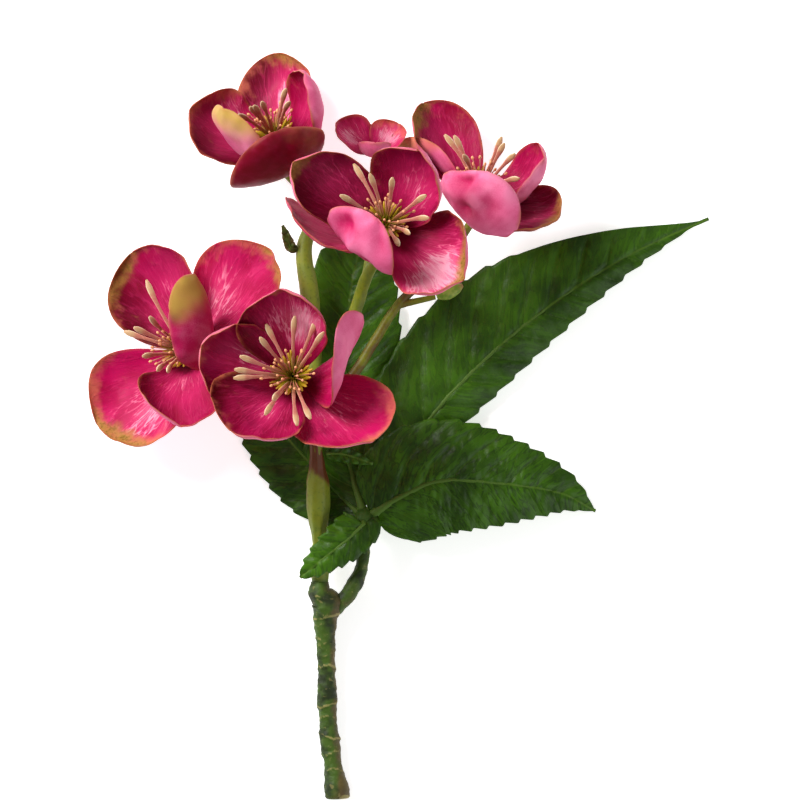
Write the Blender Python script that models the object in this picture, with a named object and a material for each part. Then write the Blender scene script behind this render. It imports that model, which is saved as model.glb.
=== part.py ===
"""A cut spray of hellebore, lying on a flat surface and seen from above.

The surface is z = 0, x runs to the right, y runs from the cut end towards the blooms, and z is up.
Lengths are in millimetres and angles in degrees; every mesh is made in metres.
"""

import math
import random
from dataclasses import dataclass

import bmesh
import bpy
import numpy as np
from mathutils import Vector

MM = 0.001
CLEARANCE = 0.35

# Sepals and the heart of a bloom
SEPAL_THICKNESS = 0.7
SEPAL_GRID = (7, 5)  # rows from claw to tip, columns from side to side
BUD_GRID = (5, 4)
RECEPTACLE_RADIUS = 3.4
BUD_RECEPTACLE_RADIUS = 2.0
CLAW_SHARE = 0.68  # how far out on the receptacle a sepal begins
CLAW_WIDTH = 0.16  # least share of a sepal's full width between its claw and its widest row
TIP_WIDTH = 0.05  # share of the full width that is left at the tip
WIDTH_POWERS = (0.8, 0.5)  # how the width grows from the claw and closes towards the tip
ROW_CROWDING = 1.6  # above one, the rows stand closer together near the tip
CLAW_CUP = 0.3  # share of the cup that a sepal already has at its claw
CUP_GROWTH = 1.4
ROLL_REACH = 0.25  # share of the length in which the roll is reached
STAMEN_LENGTH = 28.0
STAMEN_RADII = (0.5, 0.5, 0.55, 1.1, 0.7)
STAMEN_ARCH = 0.3
STAMEN_MARGIN = 2.0  # least distance of a stamen from the points of a sepal
LEAST_DEPTH = 5.0
NECTARY_COUNT = 7
NECTARY_LENGTH = 9.0
NECTARY_RADII = (0.5, 1.1, 1.4)
NECTARY_MARGIN = 2.2
INNER_STAMEN_COUNT = 7
INNER_STAMEN_LENGTH = 15.0
INNER_STAMEN_RADII = (0.45, 0.45, 0.9, 0.6)
INNER_LEAN = (12, 32)  # least and greatest lean away from the axis
BOSS_HEIGHTS = (0.0, 3.0, 5.0)
BOSS_RADII = (2.4, 2.4, 1.0)
ROOT_HEIGHT = 1.8  # where stamens and nectaries leave the boss
STAMEN_SIDES = 3
NECTARY_SIDES = 5

# Leaves
LEAF_THICKNESS = 0.8
LEAF_SHARES = (1.0, 0.5, 0.0, -0.5, -1.0)  # from the left margin over the midrib to the right one
TOOTH_DEPTH = 1.1
TOOTH_REACH = 1.5
TOOTH_FADE = 2.5  # teeth are smaller where the blade is narrower than its width over this
RIPPLE_WAVES = 5
LEAST_HALF_WIDTH = 0.6

# Stems
STEM_SIDES = 12
STEM_FLARE = 4.8
STALK_SIDES = 8
PEDICEL_SIDES = 6
PEDICEL_RUN = 8.0  # straight length of a pedicel behind its bloom


@dataclass
class Sepal:
    """One sepal: where it points round the bloom's axis, how it rises, and how its blade is bent."""

    azimuth: float
    rise: tuple[float, float]  # angle from the bloom's axis at the base and at the tip
    length: float
    width: float
    cup: tuple[float, float]  # how far each side margin turns inwards
    twist: float = 0.0
    bend: float = 0.0
    roll: float = 0.0


@dataclass
class Bloom:
    """A bloom: its place, the way it faces, its sepals and the heads of its long stamens."""

    name: str
    centre: tuple[float, float, float]
    axis: tuple[float, float, float]
    sepals: list[Sepal]
    stamen_heads: list[tuple[float, float]]  # x and y from the centre, seen from above
    receptacle: float = RECEPTACLE_RADIUS
    grid: tuple[int, int] = SEPAL_GRID


@dataclass
class Leaf:
    """A leaf blade: what carries it, its midrib from there on, its half widths, slopes and teeth."""

    name: str
    seat: tuple[float, float, float, float]  # middle and radius of the joint or stem that carries it
    midrib: list[tuple[float, float, float]]
    half_widths: tuple[float, float]
    fall: tuple[float, float]  # how far each margin lies under the midrib
    teeth: int
    fullness: tuple[float, float] = (0.45, 0.85)
    ripple: float = 0.8
    colour: tuple[float, float, float] = (0.025, 0.085, 0.008)


BLOOMS = [
    Bloom(
        "bloom_left",
        (-77.0, 26.5, 15.0),
        (-0.6, 0.2, 0.77),
        [
            Sepal(115, (80, 50), 44, 42, (40, 35), twist=5, bend=-5),
            Sepal(50, (100, 80), 48, 42, (40, 20), twist=15, bend=-10),
            Sepal(220, (80, 50), 44, 45, (50, 20), twist=-10),
            Sepal(275, (55, 60), 40, 41, (85, 30), twist=-20, bend=25),
            Sepal(10, (80, -35), 45, 38, (55, 30), twist=-25, bend=10),
        ],
        [(-26.5, 8.5), (-22.5, 10), (-18, 28), (-16.5, 14), (-19, -1), (-13.5, -6.5), (-9.5, -7)],
    ),
    Bloom(
        "bloom_front",
        (-38.0, 16.5, 42.0),
        (-0.21, 0.2, 0.96),
        [
            Sepal(95, (65, 25), 39, 40, (50, 35), bend=-5),
            Sepal(165, (80, 35), 39, 38, (55, 50), twist=-15, bend=-5),
            Sepal(230, (60, 35), 39, 42, (20, 40), bend=5),
            Sepal(315, (85, 60), 43, 41, (45, 35), twist=-20, bend=10),
            Sepal(-10, (80, -25), 48, 31, (15, -25), twist=-5, bend=38),
        ],
        [(-12.5, 24.5), (-13.5, 16), (-0.5, 24), (8.5, 24), (10.5, 18), (-21, 9), (-23, 4), (-27.5, -0.5),
         (-11.5, -13), (-8.5, -7.5), (0.5, -17), (5.5, -14.5)],
    ),
    Bloom(
        "bloom_top",
        (-45.0, 104.0, 21.5),
        (-0.25, 0.75, 0.6),
        [
            Sepal(90, (105, 25), 43, 36, (30, 35), twist=-30, bend=-10),
            Sepal(5, (80, -25), 42, 38, (55, 40), twist=-5, bend=-5, roll=20),
            Sepal(170, (85, 15), 38, 40, (65, 30), twist=-10),
            Sepal(230, (75, -20), 45, 36, (35, 45), bend=5, roll=-15),
            Sepal(278, (114, -28), 50, 43, (30, 35), twist=18, bend=8),
        ],
        [(-15, 12), (-10.5, 15), (-9, 15.5), (-6, 17), (3, 22), (4.5, 17)],
    ),
    Bloom(
        "bloom_middle",
        (-4.5, 72.0, 58.5),
        (0.02, 0.42, 0.9),
        [
            Sepal(145, (90, 40), 43, 37, (80, 55), bend=10),
            Sepal(50, (60, 5), 39, 37, (65, 35), twist=15, bend=10),
            Sepal(325, (85, 40), 44, 43, (40, 70), bend=-20),
            Sepal(230, (90, -60), 48, 36, (15, 30), twist=-25, bend=8, roll=5),
            Sepal(195, (105, 25), 38, 37, (5, 35), twist=-30, bend=-20, roll=40),
        ],
        [(-12, 25), (-6, 21), (2.5, 19.5), (15, 13), (16, 4.5), (9, -1.5), (5, -6), (-17, 13)],
    ),
    Bloom(
        "bloom_right",
        (29.5, 84.0, 24.2),
        (0.18, 0.7, 0.69),
        [
            Sepal(125, (85, 60), 43, 34, (50, 65), bend=-5),
            Sepal(140, (75, 110), 35, 26, (50, 65), bend=10, roll=55),
            Sepal(250, (95, -40), 50, 40, (45, 40), twist=-5, bend=15, roll=-15),
            Sepal(0, (80, -15), 40, 36, (55, 60), twist=-15, bend=-10),
            Sepal(325, (80, 45), 39, 35, (25, 50), twist=-5, bend=-15),
        ],
        [(-12, 25), (-8.5, 24.5), (-5, 17), (9.5, 24), (10.5, 21.5), (14.5, 17.5), (16, 8)],
    ),
]

HALF_OPEN_BUD = Bloom(
    "half_open_bud",
    (-9.0, 101.5, 22.0),
    (0.05, 0.8, 0.6),
    [
        Sepal(148, (75, 50), 18, 21, (45, 50)),
        Sepal(52, (75, 50), 15, 18, (50, 50)),
        Sepal(95, (85, 65), 14, 18, (40, 40)),
        Sepal(270, (60, 0), 13, 15, (60, 60)),
    ],
    [],
    receptacle=BUD_RECEPTACLE_RADIUS,
    grid=BUD_GRID,
)
GREEN_BUD = [(14.6, 48.2, 17), (18, 49.5, 17), (21.5, 51, 17), (24.5, 52.5, 17)]
GREEN_BUD_RADII = [1.0, 2.7, 2.6, 0.6]

LEAF_JOINT = (-12.5, -36.0, 12.5, 3.2)
LEAVES = [
    Leaf(
        "leaf_upper",
        LEAF_JOINT,
        [(0, -16, 10.3), (16, 7, 9), (39, 30, 8), (62, 48, 7), (84, 62, 5), (102, 71, 3), (118, 78, 1.5)],
        half_widths=(28, 12),
        fall=(2, 4),
        teeth=17,
        fullness=(0.95, 1.4),
    ),
    Leaf(
        "leaf_lower",
        LEAF_JOINT,
        [(0, -28, 17), (16, -21.5, 18), (39, -22.5, 15), (61, -26, 8), (75, -33, 1.5)],
        half_widths=(23, 20),
        fall=(4, 5),
        teeth=14,
        fullness=(0.35, 1.0),
    ),
    Leaf(
        "leaf_lobe",
        LEAF_JOINT,
        [(-13.6, -38.4, 18.4), (-19, -43.5, 20), (-27, -49.8, 18.8), (-37, -58, 14.5)],
        half_widths=(7.5, 8),
        fall=(1, 1),
        teeth=6,
        fullness=(0.2, 0.75),
    ),
    Leaf(
        "leaf_back_left",
        LEAF_JOINT,
        [(-24, -25, 5.5), (-36, -12, 3.5), (-52, 6, 2), (-66, 22, 1.2)],
        half_widths=(17, 8),
        fall=(2, 2),
        teeth=11,
    ),
    Leaf(
        "leaf_back_middle",
        LEAF_JOINT,
        [(-18.5, -14, 7), (-20, 10, 5.5), (-18, 50, 4), (-11, 80, 1.5)],
        half_widths=(19, 20),
        fall=(1, 1),
        teeth=13,
        fullness=(0.8, 0.7),
    ),
    Leaf(
        "stalk_bract",
        (-30.8, -11, 18, 3.1),
        [(-20, -11.5, 18), (-9.5, -15, 17)],
        half_widths=(3, 3),
        fall=(0.5, 0.5),
        teeth=0,
    ),
    Leaf(
        "upper_bract",
        (-35.5, 66, 16.1, 3.1),
        [(-40.5, 67, 20), (-43.5, 75, 21.5)],
        half_widths=(2, 2),
        fall=(0.3, 0.3),
        teeth=0,
        colour=(0.05, 0.06, 0.01),
    ),
]


def smooth_path(points, steps):
    """Evenly spaced points along a smooth curve through the given ones."""
    known = np.array(points, float)
    known = np.vstack([2 * known[0] - known[1], known, 2 * known[-1] - known[-2]])
    dense = []
    for a, b, c, d in zip(known, known[1:], known[2:], known[3:]):
        for t in np.linspace(0, 1, 16, endpoint=False):
            curve = 2 * b + (c - a) * t + (2 * a - 5 * b + 4 * c - d) * t**2 + (3 * b - a - 3 * c + d) * t**3
            dense.append(curve / 2)
    dense = np.array([*dense, known[-2]])
    walked = np.concatenate([[0], np.cumsum(np.linalg.norm(np.diff(dense, axis=0), axis=1))])
    stops = np.linspace(0, walked[-1], steps + 1)
    return [Vector([np.interp(stop, walked, dense[:, k]) for k in range(3)]) for stop in stops]


def principled(name, colour, roughness):
    """A plain surface material of one colour."""
    material = bpy.data.materials.new(name)
    material.use_nodes = True
    shader = material.node_tree.nodes["Principled BSDF"]
    shader.inputs["Base Color"].default_value = (*colour, 1.0)
    shader.inputs["Roughness"].default_value = roughness
    return material


def add_object(name, mesh, collection=None):
    """Puts a mesh into the scene as an object of that name."""
    made = bpy.data.objects.new(name, mesh)
    (collection or bpy.context.scene.collection).objects.link(made)
    return made


def finish_mesh(name, bm):
    """Turns a bmesh in millimetres into a mesh in metres with its faces pointing out."""
    bmesh.ops.recalc_face_normals(bm, faces=bm.faces)
    bmesh.ops.scale(bm, vec=(MM, MM, MM), verts=bm.verts)
    mesh = bpy.data.meshes.new(name)
    bm.to_mesh(mesh)
    bm.free()
    return mesh


def blade_mesh(name, grid, thickness):
    """A thin solid on both sides of a grid of points; where it meets the surface it lies flat on it."""
    rows = len(grid)
    columns = len(grid[0])
    bm = bmesh.new()
    bmesh.ops.create_grid(bm, x_segments=rows - 1, y_segments=columns - 1, size=1.0)
    bm.verts.ensure_lookup_table()
    for vert in bm.verts:
        row = round((vert.co.x + 1) / 2 * (rows - 1))
        column = round((vert.co.y + 1) / 2 * (columns - 1))
        vert.co = grid[row][column]
        vert.co.z = max(vert.co.z, thickness / 2)
    bmesh.ops.triangulate(bm, faces=bm.faces, quad_method="FIXED")
    bm.normal_update()
    top = {vert: vert.co + vert.normal * thickness / 2 for vert in bm.verts}
    low = {vert: vert.co - vert.normal * thickness / 2 for vert in bm.verts}
    solid = bmesh.new()
    upper = {vert: solid.verts.new(co) for vert, co in top.items()}
    lower = {vert: solid.verts.new(co) for vert, co in low.items()}
    for vert in solid.verts:
        vert.co.z = max(vert.co.z, 0.0)
    for face in bm.faces:
        solid.faces.new([upper[v] for v in face.verts])
        solid.faces.new([lower[v] for v in reversed(face.verts)])
    for edge in bm.edges:
        if edge.is_boundary:
            a, b = edge.verts
            solid.faces.new([upper[a], upper[b], lower[b]])
            solid.faces.new([upper[a], lower[b], lower[a]])
    bm.free()
    return finish_mesh(name, solid)


def tube_mesh(name, path, radii, sides):
    """A round closed solid along a path, with a radius at each of its points."""
    bm = bmesh.new()
    rings = []
    across = None
    for index, (point, radius) in enumerate(zip(path, radii)):
        along = (path[min(index + 1, len(path) - 1)] - path[max(index - 1, 0)]).normalized()
        if across is None:
            across = along.cross(Vector((0, 0, 1)))
            across = across.normalized() if across.length > 0.1 else Vector((1, 0, 0))
        across = (across - along * across.dot(along)).normalized()
        other = along.cross(across)
        ring = []
        for side in range(sides):
            angle = (side + 0.5) / sides * math.tau
            ring.append(bm.verts.new(point + radius * (math.cos(angle) * across + math.sin(angle) * other)))
        rings.append(ring)
    for first, second in zip(rings, rings[1:]):
        for side in range(sides):
            after = (side + 1) % sides
            bm.faces.new([first[side], first[after], second[after], second[side]])
    bm.faces.new(rings[0][::-1])
    bm.faces.new(rings[-1])
    bmesh.ops.triangulate(bm, faces=bm.faces)
    return finish_mesh(name, bm)


def ball_mesh(name, centre, radius, detail=2):
    """A small ball."""
    bm = bmesh.new()
    bmesh.ops.create_icosphere(bm, subdivisions=detail, radius=radius)
    bmesh.ops.translate(bm, vec=centre, verts=bm.verts)
    return finish_mesh(name, bm)


def fused(name, meshes, material):
    """One closed body made of several overlapping ones."""
    base = add_object(name, meshes[0])
    others = bpy.data.collections.new(name + "_pieces")
    bpy.context.scene.collection.children.link(others)
    for index, mesh in enumerate(meshes[1:]):
        add_object(f"{name}_piece_{index}", mesh, others)
    join = base.modifiers.new("join", "BOOLEAN")
    join.operation = "UNION"
    join.operand_type = "COLLECTION"
    join.collection = others
    join.solver = "MANIFOLD"
    graph = bpy.context.evaluated_depsgraph_get()
    joined = bpy.data.meshes.new_from_object(base.evaluated_get(graph))
    base.modifiers.clear()
    base.data = joined
    for piece in list(others.objects):
        bpy.data.objects.remove(piece)
    bpy.data.collections.remove(others)
    base.data.materials.clear()
    base.data.materials.append(material)
    return base


def facing(axis):
    """Right, up and forward directions of a bloom that faces along the axis."""
    forward = Vector(axis).normalized()
    right = (Vector((1, 0, 0)) - forward * forward.x).normalized()
    return right, forward.cross(right), forward


def sepal_grid(bloom, sepal, rows, columns):
    """Points on the middle surface of a sepal, as rows from its claw to its tip."""
    right, up, forward = facing(bloom.axis)
    azimuth = math.radians(sepal.azimuth)
    outward = math.cos(azimuth) * right + math.sin(azimuth) * up
    sideways = forward.cross(outward)
    start = math.radians(sepal.rise[0])
    turn = math.radians(sepal.rise[1] - sepal.rise[0])
    early, late = WIDTH_POWERS
    widest = early / (early + late)
    fullest = widest**early * (1 - widest) ** late
    grid = []
    for row in range(rows + 1):
        u = 1 - (1 - row / rows) ** ROW_CROWDING
        angle = start + turn * u
        reach = (math.cos(start) - math.cos(angle)) / turn
        height = (math.sin(angle) - math.sin(start)) / turn
        drift = math.radians(sepal.bend) * u * u / 2
        spine = Vector(bloom.centre) + bloom.receptacle * CLAW_SHARE * outward
        spine += sepal.length * (reach * outward + height * forward + drift * sideways)
        normal = forward * math.sin(angle) - outward * math.cos(angle)
        tilt = math.radians(sepal.twist * u + sepal.roll * min(1, u / ROLL_REACH))
        across = math.cos(tilt) * sideways + math.sin(tilt) * normal
        inward = math.cos(tilt) * normal - math.sin(tilt) * sideways
        profile = u**early * (1 - u) ** late / fullest
        if u < widest:
            profile = max(profile, CLAW_WIDTH)
        half = sepal.width / 2 * max(profile, TIP_WIDTH)
        line = []
        for column in range(columns + 1):
            v = 2 * column / columns - 1
            side_cup = sepal.cup[0] if v < 0 else sepal.cup[1]
            curl = math.radians(side_cup) * min(1, CLAW_CUP + CUP_GROWTH * u)
            out = math.copysign(half * math.sin(curl * abs(v)) / curl, v)
            rise = half * (1 - math.cos(curl * abs(v))) / curl
            line.append(spine + out * across + rise * inward)
        grid.append(line)
    return grid


def sepals_of(bloom, material):
    """The five sepals of a bloom, fused to its receptacle."""
    meshes = [ball_mesh("receptacle", Vector(bloom.centre), bloom.receptacle)]
    for sepal in bloom.sepals:
        meshes.append(blade_mesh("sepal", sepal_grid(bloom, sepal, *bloom.grid), SEPAL_THICKNESS))
    return fused(bloom.name + "_sepals", meshes, material)


def stamen_path(root, head, forward, count):
    """A filament that leaves along the bloom's axis and arches over to its head."""
    rise = forward * (head - root).length * STAMEN_ARCH
    path = []
    for step in range(count):
        share = step / (count - 1)
        path.append(root.lerp(head, share) + rise * share * (1 - share))
    return path


def clear_of_sepals(path, surface, margin):
    """Whether every point of a path keeps the margin from the sepals' points."""
    for first, second in zip(path, path[1:]):
        for part in (0.35, 0.7, 1.0):
            point = np.array(first.lerp(second, part))
            if np.min(np.linalg.norm(surface - point, axis=1)) < margin:
                return False
    return True


def nectary_path(root, outward, forward, surface):
    """A nectary that leans outwards, raised until it keeps clear of the sepals."""
    aim = (outward + 0.75 * forward).normalized()
    while True:
        path = [root + outward, root + aim * NECTARY_LENGTH * 0.6, root + aim * NECTARY_LENGTH]
        if clear_of_sepals(path, surface, NECTARY_MARGIN):
            return path
        aim = (aim + 0.15 * forward).normalized()


def centre_of(bloom, material):
    """The heart of a bloom: boss, nectaries, and the inner and long stamens, fused."""
    right, up, forward = facing(bloom.axis)
    chance = random.Random(bloom.name)
    surface = np.array([p for s in bloom.sepals for line in sepal_grid(bloom, s, 16, 12) for p in line])
    foot = Vector(bloom.centre) + forward * (bloom.receptacle + CLEARANCE)
    root = foot + forward * ROOT_HEIGHT
    boss = [foot + forward * height for height in BOSS_HEIGHTS]
    meshes = [tube_mesh("boss", boss, BOSS_RADII, STALK_SIDES)]
    for index in range(NECTARY_COUNT):
        azimuth = math.tau * index / NECTARY_COUNT
        outward = math.cos(azimuth) * right + math.sin(azimuth) * up
        path = nectary_path(root, outward, forward, surface)
        meshes.append(tube_mesh("nectary", path, NECTARY_RADII, NECTARY_SIDES))
    heads = []
    for index in range(INNER_STAMEN_COUNT):
        azimuth = math.tau * (index + chance.random() * 0.5) / INNER_STAMEN_COUNT
        lean = math.radians(chance.uniform(*INNER_LEAN))
        outward = math.cos(azimuth) * right + math.sin(azimuth) * up
        aim = math.cos(lean) * forward + math.sin(lean) * outward
        heads.append((root + aim * INNER_STAMEN_LENGTH * chance.uniform(0.85, 1.1), INNER_STAMEN_RADII))
    for x, y in bloom.stamen_heads:
        depth = math.sqrt(max(STAMEN_LENGTH**2 - x * x - y * y, LEAST_DEPTH**2))
        heads.append((Vector(bloom.centre) + Vector((x, y, depth)), STAMEN_RADII))
    for head, radii in heads:
        lean = (head - root) - forward * (head - root).dot(forward)
        start = root + lean.normalized() * BOSS_RADII[0] / 2
        path = stamen_path(start, head, forward, len(radii))
        while not clear_of_sepals(path, surface, STAMEN_MARGIN):
            head = head.lerp(root + forward * (head - root).length, 0.12)
            path = stamen_path(start, head, forward, len(radii))
        meshes.append(tube_mesh("stamen", path, radii, STAMEN_SIDES))
    return fused(bloom.name + "_centre", meshes, material)


def leaf_grid(leaf):
    """Points on the middle surface of a toothed leaf, two rows to each tooth."""
    rows = 2 * leaf.teeth + 2 if leaf.teeth else 4
    carrier = Vector(leaf.seat[:3])
    reach = leaf.seat[3] + CLEARANCE
    base = carrier + (Vector(leaf.midrib[0]) - carrier).normalized() * reach
    midrib = smooth_path([base, *leaf.midrib], rows)
    early, late = leaf.fullness
    widest = early / (early + late)
    fullest = widest**early * (1 - widest) ** late
    grid = []
    for row, point in enumerate(midrib):
        u = row / rows
        along = (midrib[min(row + 1, rows)] - midrib[max(row - 1, 0)]).normalized()
        left = Vector((-along.y, along.x, 0)).normalized()
        profile = (u**early * (1 - u) ** late) / fullest
        tooth_tip = leaf.teeth and row % 2 == 1
        line = []
        for share in LEAF_SHARES:
            half = leaf.half_widths[0] if share > 0 else leaf.half_widths[1]
            fall = leaf.fall[0] if share > 0 else leaf.fall[1]
            phase = 2.0 if share > 0 else 0.5
            wave = leaf.ripple * math.sin(RIPPLE_WAVES * math.tau * u + phase) * share * share
            out = abs(share) * max(half * profile, LEAST_HALF_WIDTH)
            place = point + math.copysign(out, share) * left
            if abs(share) == 1.0 and tooth_tip:
                size = min(1.0, TOOTH_FADE * profile)
                place += size * (TOOTH_DEPTH * math.copysign(1, share) * left + TOOTH_REACH * along)
            place.z += wave * profile - fall * abs(share) ** 1.5 * profile
            line.append(place)
        grid.append(line)
    return grid


def leaf_object(leaf):
    """A leaf as one thin blade."""
    made = add_object(leaf.name, blade_mesh(leaf.name, leaf_grid(leaf), LEAF_THICKNESS))
    made.data.materials.append(principled(leaf.name, leaf.colour, 0.4))
    return made


def woody_stem():
    """The main stem with its flared cut end, leaf-scar rings and the side branch to the leaves."""
    places = [(-23, -142.2), (-23.2, -139), (-24.5, -130), (-26, -119), (-26.5, -112), (-27, -104),
              (-27, -92.5), (-27.5, -82), (-27.5, -74), (-27, -68), (-29.5, -64), (-29.5, -61)]
    radii = [STEM_FLARE, STEM_FLARE, 3.3, 3.7, 3.2, 3.8, 3.3, 3.5, 4.4, 5.8, 4.3, 3.2]
    rest = STEM_FLARE * math.cos(math.pi / STEM_SIDES)
    heights = [rest, rest, rest, 4.6, 4.8, 5.4, 5.8, 6.6, 7.6, 8.8, 9.9, 10.0]
    path = [Vector((x, y, z)) for (x, y), z in zip(places, heights)]
    stem = tube_mesh("stem", path, radii, STEM_SIDES)
    bends = [(-24, -70, 8.5), (-18.5, -64, 9), (-14, -55, 10), (-13, -46, 11), (-12.5, -35.5, 12)]
    branch_path = smooth_path(bends, 10)
    branch = tube_mesh("branch", branch_path, [3.0] * 5 + [2.4] * 5 + [2.8], STALK_SIDES)
    joint = ball_mesh("joint", Vector(LEAF_JOINT[:3]), LEAF_JOINT[3])
    return fused("woody_stem", [stem, branch, joint], principled("bark", (0.06, 0.1, 0.015), 0.6))


def stalk_length(points, radii, sides=PEDICEL_SIDES):
    """One round length of the flower stalk through the given points, its radii spread evenly along it."""
    steps = max(2 * (len(points) - 1), len(radii) - 1)
    widths = np.interp(np.linspace(0, 1, steps + 1), np.linspace(0, 1, len(radii)), radii).tolist()
    return tube_mesh("length", smooth_path(points, steps), widths, sides)


def behind(bloom):
    """Where a pedicel ends, just behind the receptacle of a bloom, and a point further back."""
    forward = facing(bloom.axis)[2]
    end = Vector(bloom.centre) - forward * (bloom.receptacle + CLEARANCE)
    return tuple(end - forward * PEDICEL_RUN), tuple(end)


def flower_stalk():
    """The pale stalk with its sheath, and a pedicel to each bloom and bud."""
    left, front, top, middle, right = BLOOMS
    hub = (-31, 2, 22)
    lengths = [
        stalk_length([(-29.5, -60.55, 10), (-29.5, -50, 10.5), (-30, -34, 12.5), (-30.5, -20, 15.5), hub],
                     [3.8, 3.9, 3.7, 2.3, 3.0, 4.0, 4.5, 4.4, 3.8, 2.8, 2.4, 2.2], STALK_SIDES),
        stalk_length([hub, (-45, 8, 20), *behind(left)], [2.2, 1.8, 1.6]),
        stalk_length([hub, *behind(front)], [2.2, 1.6]),
        stalk_length(
            [hub, (-33, 45, 17), (-35.5, 66, 16), (-31, 82, 14.5), *behind(top)],
            [2.4, 3.4, 3.6, 2.2, 1.8],
        ),
        stalk_length([hub, (-17, 40, 24), (-12, 55, 30), *behind(middle)], [2.2, 2.4, 1.8]),
        stalk_length([hub, (-16, 20, 20), (0, 45, 18), (16, 60, 14), *behind(right)], [2.2, 1.8, 1.6]),
        stalk_length([(0, 45, 18), (7, 46.5, 17.5), (14.2, 48.1, 17)], [1.6, 1.2, 1.0]),
        stalk_length([(-12, 55, 30), (-9, 75, 24), *behind(HALF_OPEN_BUD)], [1.8, 1.4, 1.2]),
    ]
    return fused("flower_stalk", lengths, principled("stalk", (0.3, 0.34, 0.04), 0.5))


def build():
    """Makes every piece of the spray."""
    for old in list(bpy.data.objects):
        bpy.data.objects.remove(old)
    petal = principled("sepal", (0.5, 0.01, 0.12), 0.5)
    heart = principled("stamen", (0.6, 0.45, 0.2), 0.6)
    for bloom in BLOOMS:
        sepals_of(bloom, petal)
        centre_of(bloom, heart)
    sepals_of(HALF_OPEN_BUD, petal)
    bud_path = smooth_path(GREEN_BUD, len(GREEN_BUD_RADII) - 1)
    bud = add_object("green_bud", tube_mesh("green_bud", bud_path, GREEN_BUD_RADII, STALK_SIDES))
    bud.data.materials.append(principled("bud", (0.2, 0.3, 0.03), 0.5))
    for leaf in LEAVES:
        leaf_object(leaf)
    woody_stem()
    flower_stalk()


build()
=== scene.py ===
"""The looks of a cut hellebore spray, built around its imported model.

The spray lies on a pale floor at z = 0 and the camera looks down on it. Sizes are in millimetres and angles
in degrees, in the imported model's own frame: x to the right, y from the cut end towards the blooms, z up.
"""

import logging
import math
import random
from collections.abc import Callable, Sequence
from dataclasses import dataclass
from enum import Enum
from functools import cached_property

import bmesh
import bpy
from mathutils import Matrix, Vector, kdtree, noise


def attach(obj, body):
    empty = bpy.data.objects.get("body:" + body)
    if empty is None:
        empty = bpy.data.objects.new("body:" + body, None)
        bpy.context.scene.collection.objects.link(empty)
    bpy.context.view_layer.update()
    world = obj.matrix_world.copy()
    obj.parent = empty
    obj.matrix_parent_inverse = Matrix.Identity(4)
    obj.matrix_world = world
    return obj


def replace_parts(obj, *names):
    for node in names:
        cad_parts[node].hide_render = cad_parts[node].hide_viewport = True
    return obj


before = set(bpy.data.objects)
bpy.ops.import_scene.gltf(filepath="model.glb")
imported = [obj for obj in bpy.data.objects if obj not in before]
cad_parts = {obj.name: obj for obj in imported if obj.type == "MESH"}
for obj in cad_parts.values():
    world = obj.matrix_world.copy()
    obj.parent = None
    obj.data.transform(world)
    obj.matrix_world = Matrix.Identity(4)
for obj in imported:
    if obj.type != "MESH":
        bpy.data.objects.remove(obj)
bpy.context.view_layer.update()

Point = tuple[float, float, float]
Colour = tuple[float, float, float, float]

MM = 0.001
CLEARANCE = 0.35
LEAF_JOINT: Point = (-12.5, -36.0, 12.5)
LEAF_JOINT_RADIUS = 3.2
WHITE: Colour = (1.0, 1.0, 1.0, 1.0)

logger = logging.getLogger("hellebore")


def tint(red: int, green: int, blue: int) -> Colour:
    """A colour for a shader.

    Args:
        red: Red as a screen shows it, from 0 to 255.
        green: Green, from 0 to 255.
        blue: Blue, from 0 to 255.

    Returns:
        The same colour as linear light, with full opacity.
    """
    channels = [c / 255 for c in (red, green, blue)]
    linear = [c / 12.92 if c <= 0.04045 else ((c + 0.055) / 1.055) ** 2.4 for c in channels]
    return (linear[0], linear[1], linear[2], 1.0)


def eased(value: float, low: float, high: float) -> float:
    """How far a value has come from low to high, from 0 to 1, with soft ends."""
    share = min(1.0, max(0.0, (value - low) / (high - low)))
    return share * share * (3 - 2 * share)


def bell(value: float, width: float) -> float:
    """A bump of height 1 round zero, which fades over the given width."""
    return math.exp(-((value / width) ** 2))


def near(distance: float, reach: float) -> float:
    """How near something is: 1 where the distance is none, 0 from the reach on."""
    return max(0.0, 1 - distance / reach)


def above_floor(height: float, least: float) -> float:
    """A height that eases onto the floor and never comes below the least one."""
    reach = 1.2
    return height if height > least + reach else least + reach * math.exp((height - least - reach) / reach)


def rough(place: Vector, size: float, seed: float = 0.0) -> float:
    """Smooth noise from -1 to 1 with features of about the given size."""
    return noise.noise(Vector(place) / size + Vector((seed, 2 * seed, -seed)))


def smooth_path(points: Sequence[Sequence[float]], steps: int) -> list[Vector]:
    """Evenly spaced points along a smooth curve.

    Args:
        points: The points that the curve goes through.
        steps: The number of equal steps that the curve is cut into.

    Returns:
        One point more than there are steps.
    """
    known = [Vector(p) for p in points]
    known = [2 * known[0] - known[1], *known, 2 * known[-1] - known[-2]]
    dense: list[Vector] = []
    for a, b, c, d in zip(known, known[1:], known[2:], known[3:]):
        for part in range(16):
            t = part / 16
            curve = 2 * b + (c - a) * t + (2 * a - 5 * b + 4 * c - d) * t**2 + (3 * b - a - 3 * c + d) * t**3
            dense.append(curve / 2)
    dense.append(known[-2])
    walked = [0.0]
    for first, second in zip(dense, dense[1:]):
        walked.append(walked[-1] + (second - first).length)
    path: list[Vector] = []
    index = 0
    for step in range(steps + 1):
        stop = walked[-1] * step / steps
        while index < len(walked) - 2 and walked[index + 1] < stop:
            index += 1
        share = (stop - walked[index]) / (walked[index + 1] - walked[index])
        path.append(dense[index].lerp(dense[index + 1], min(1.0, share)))
    return path


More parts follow.
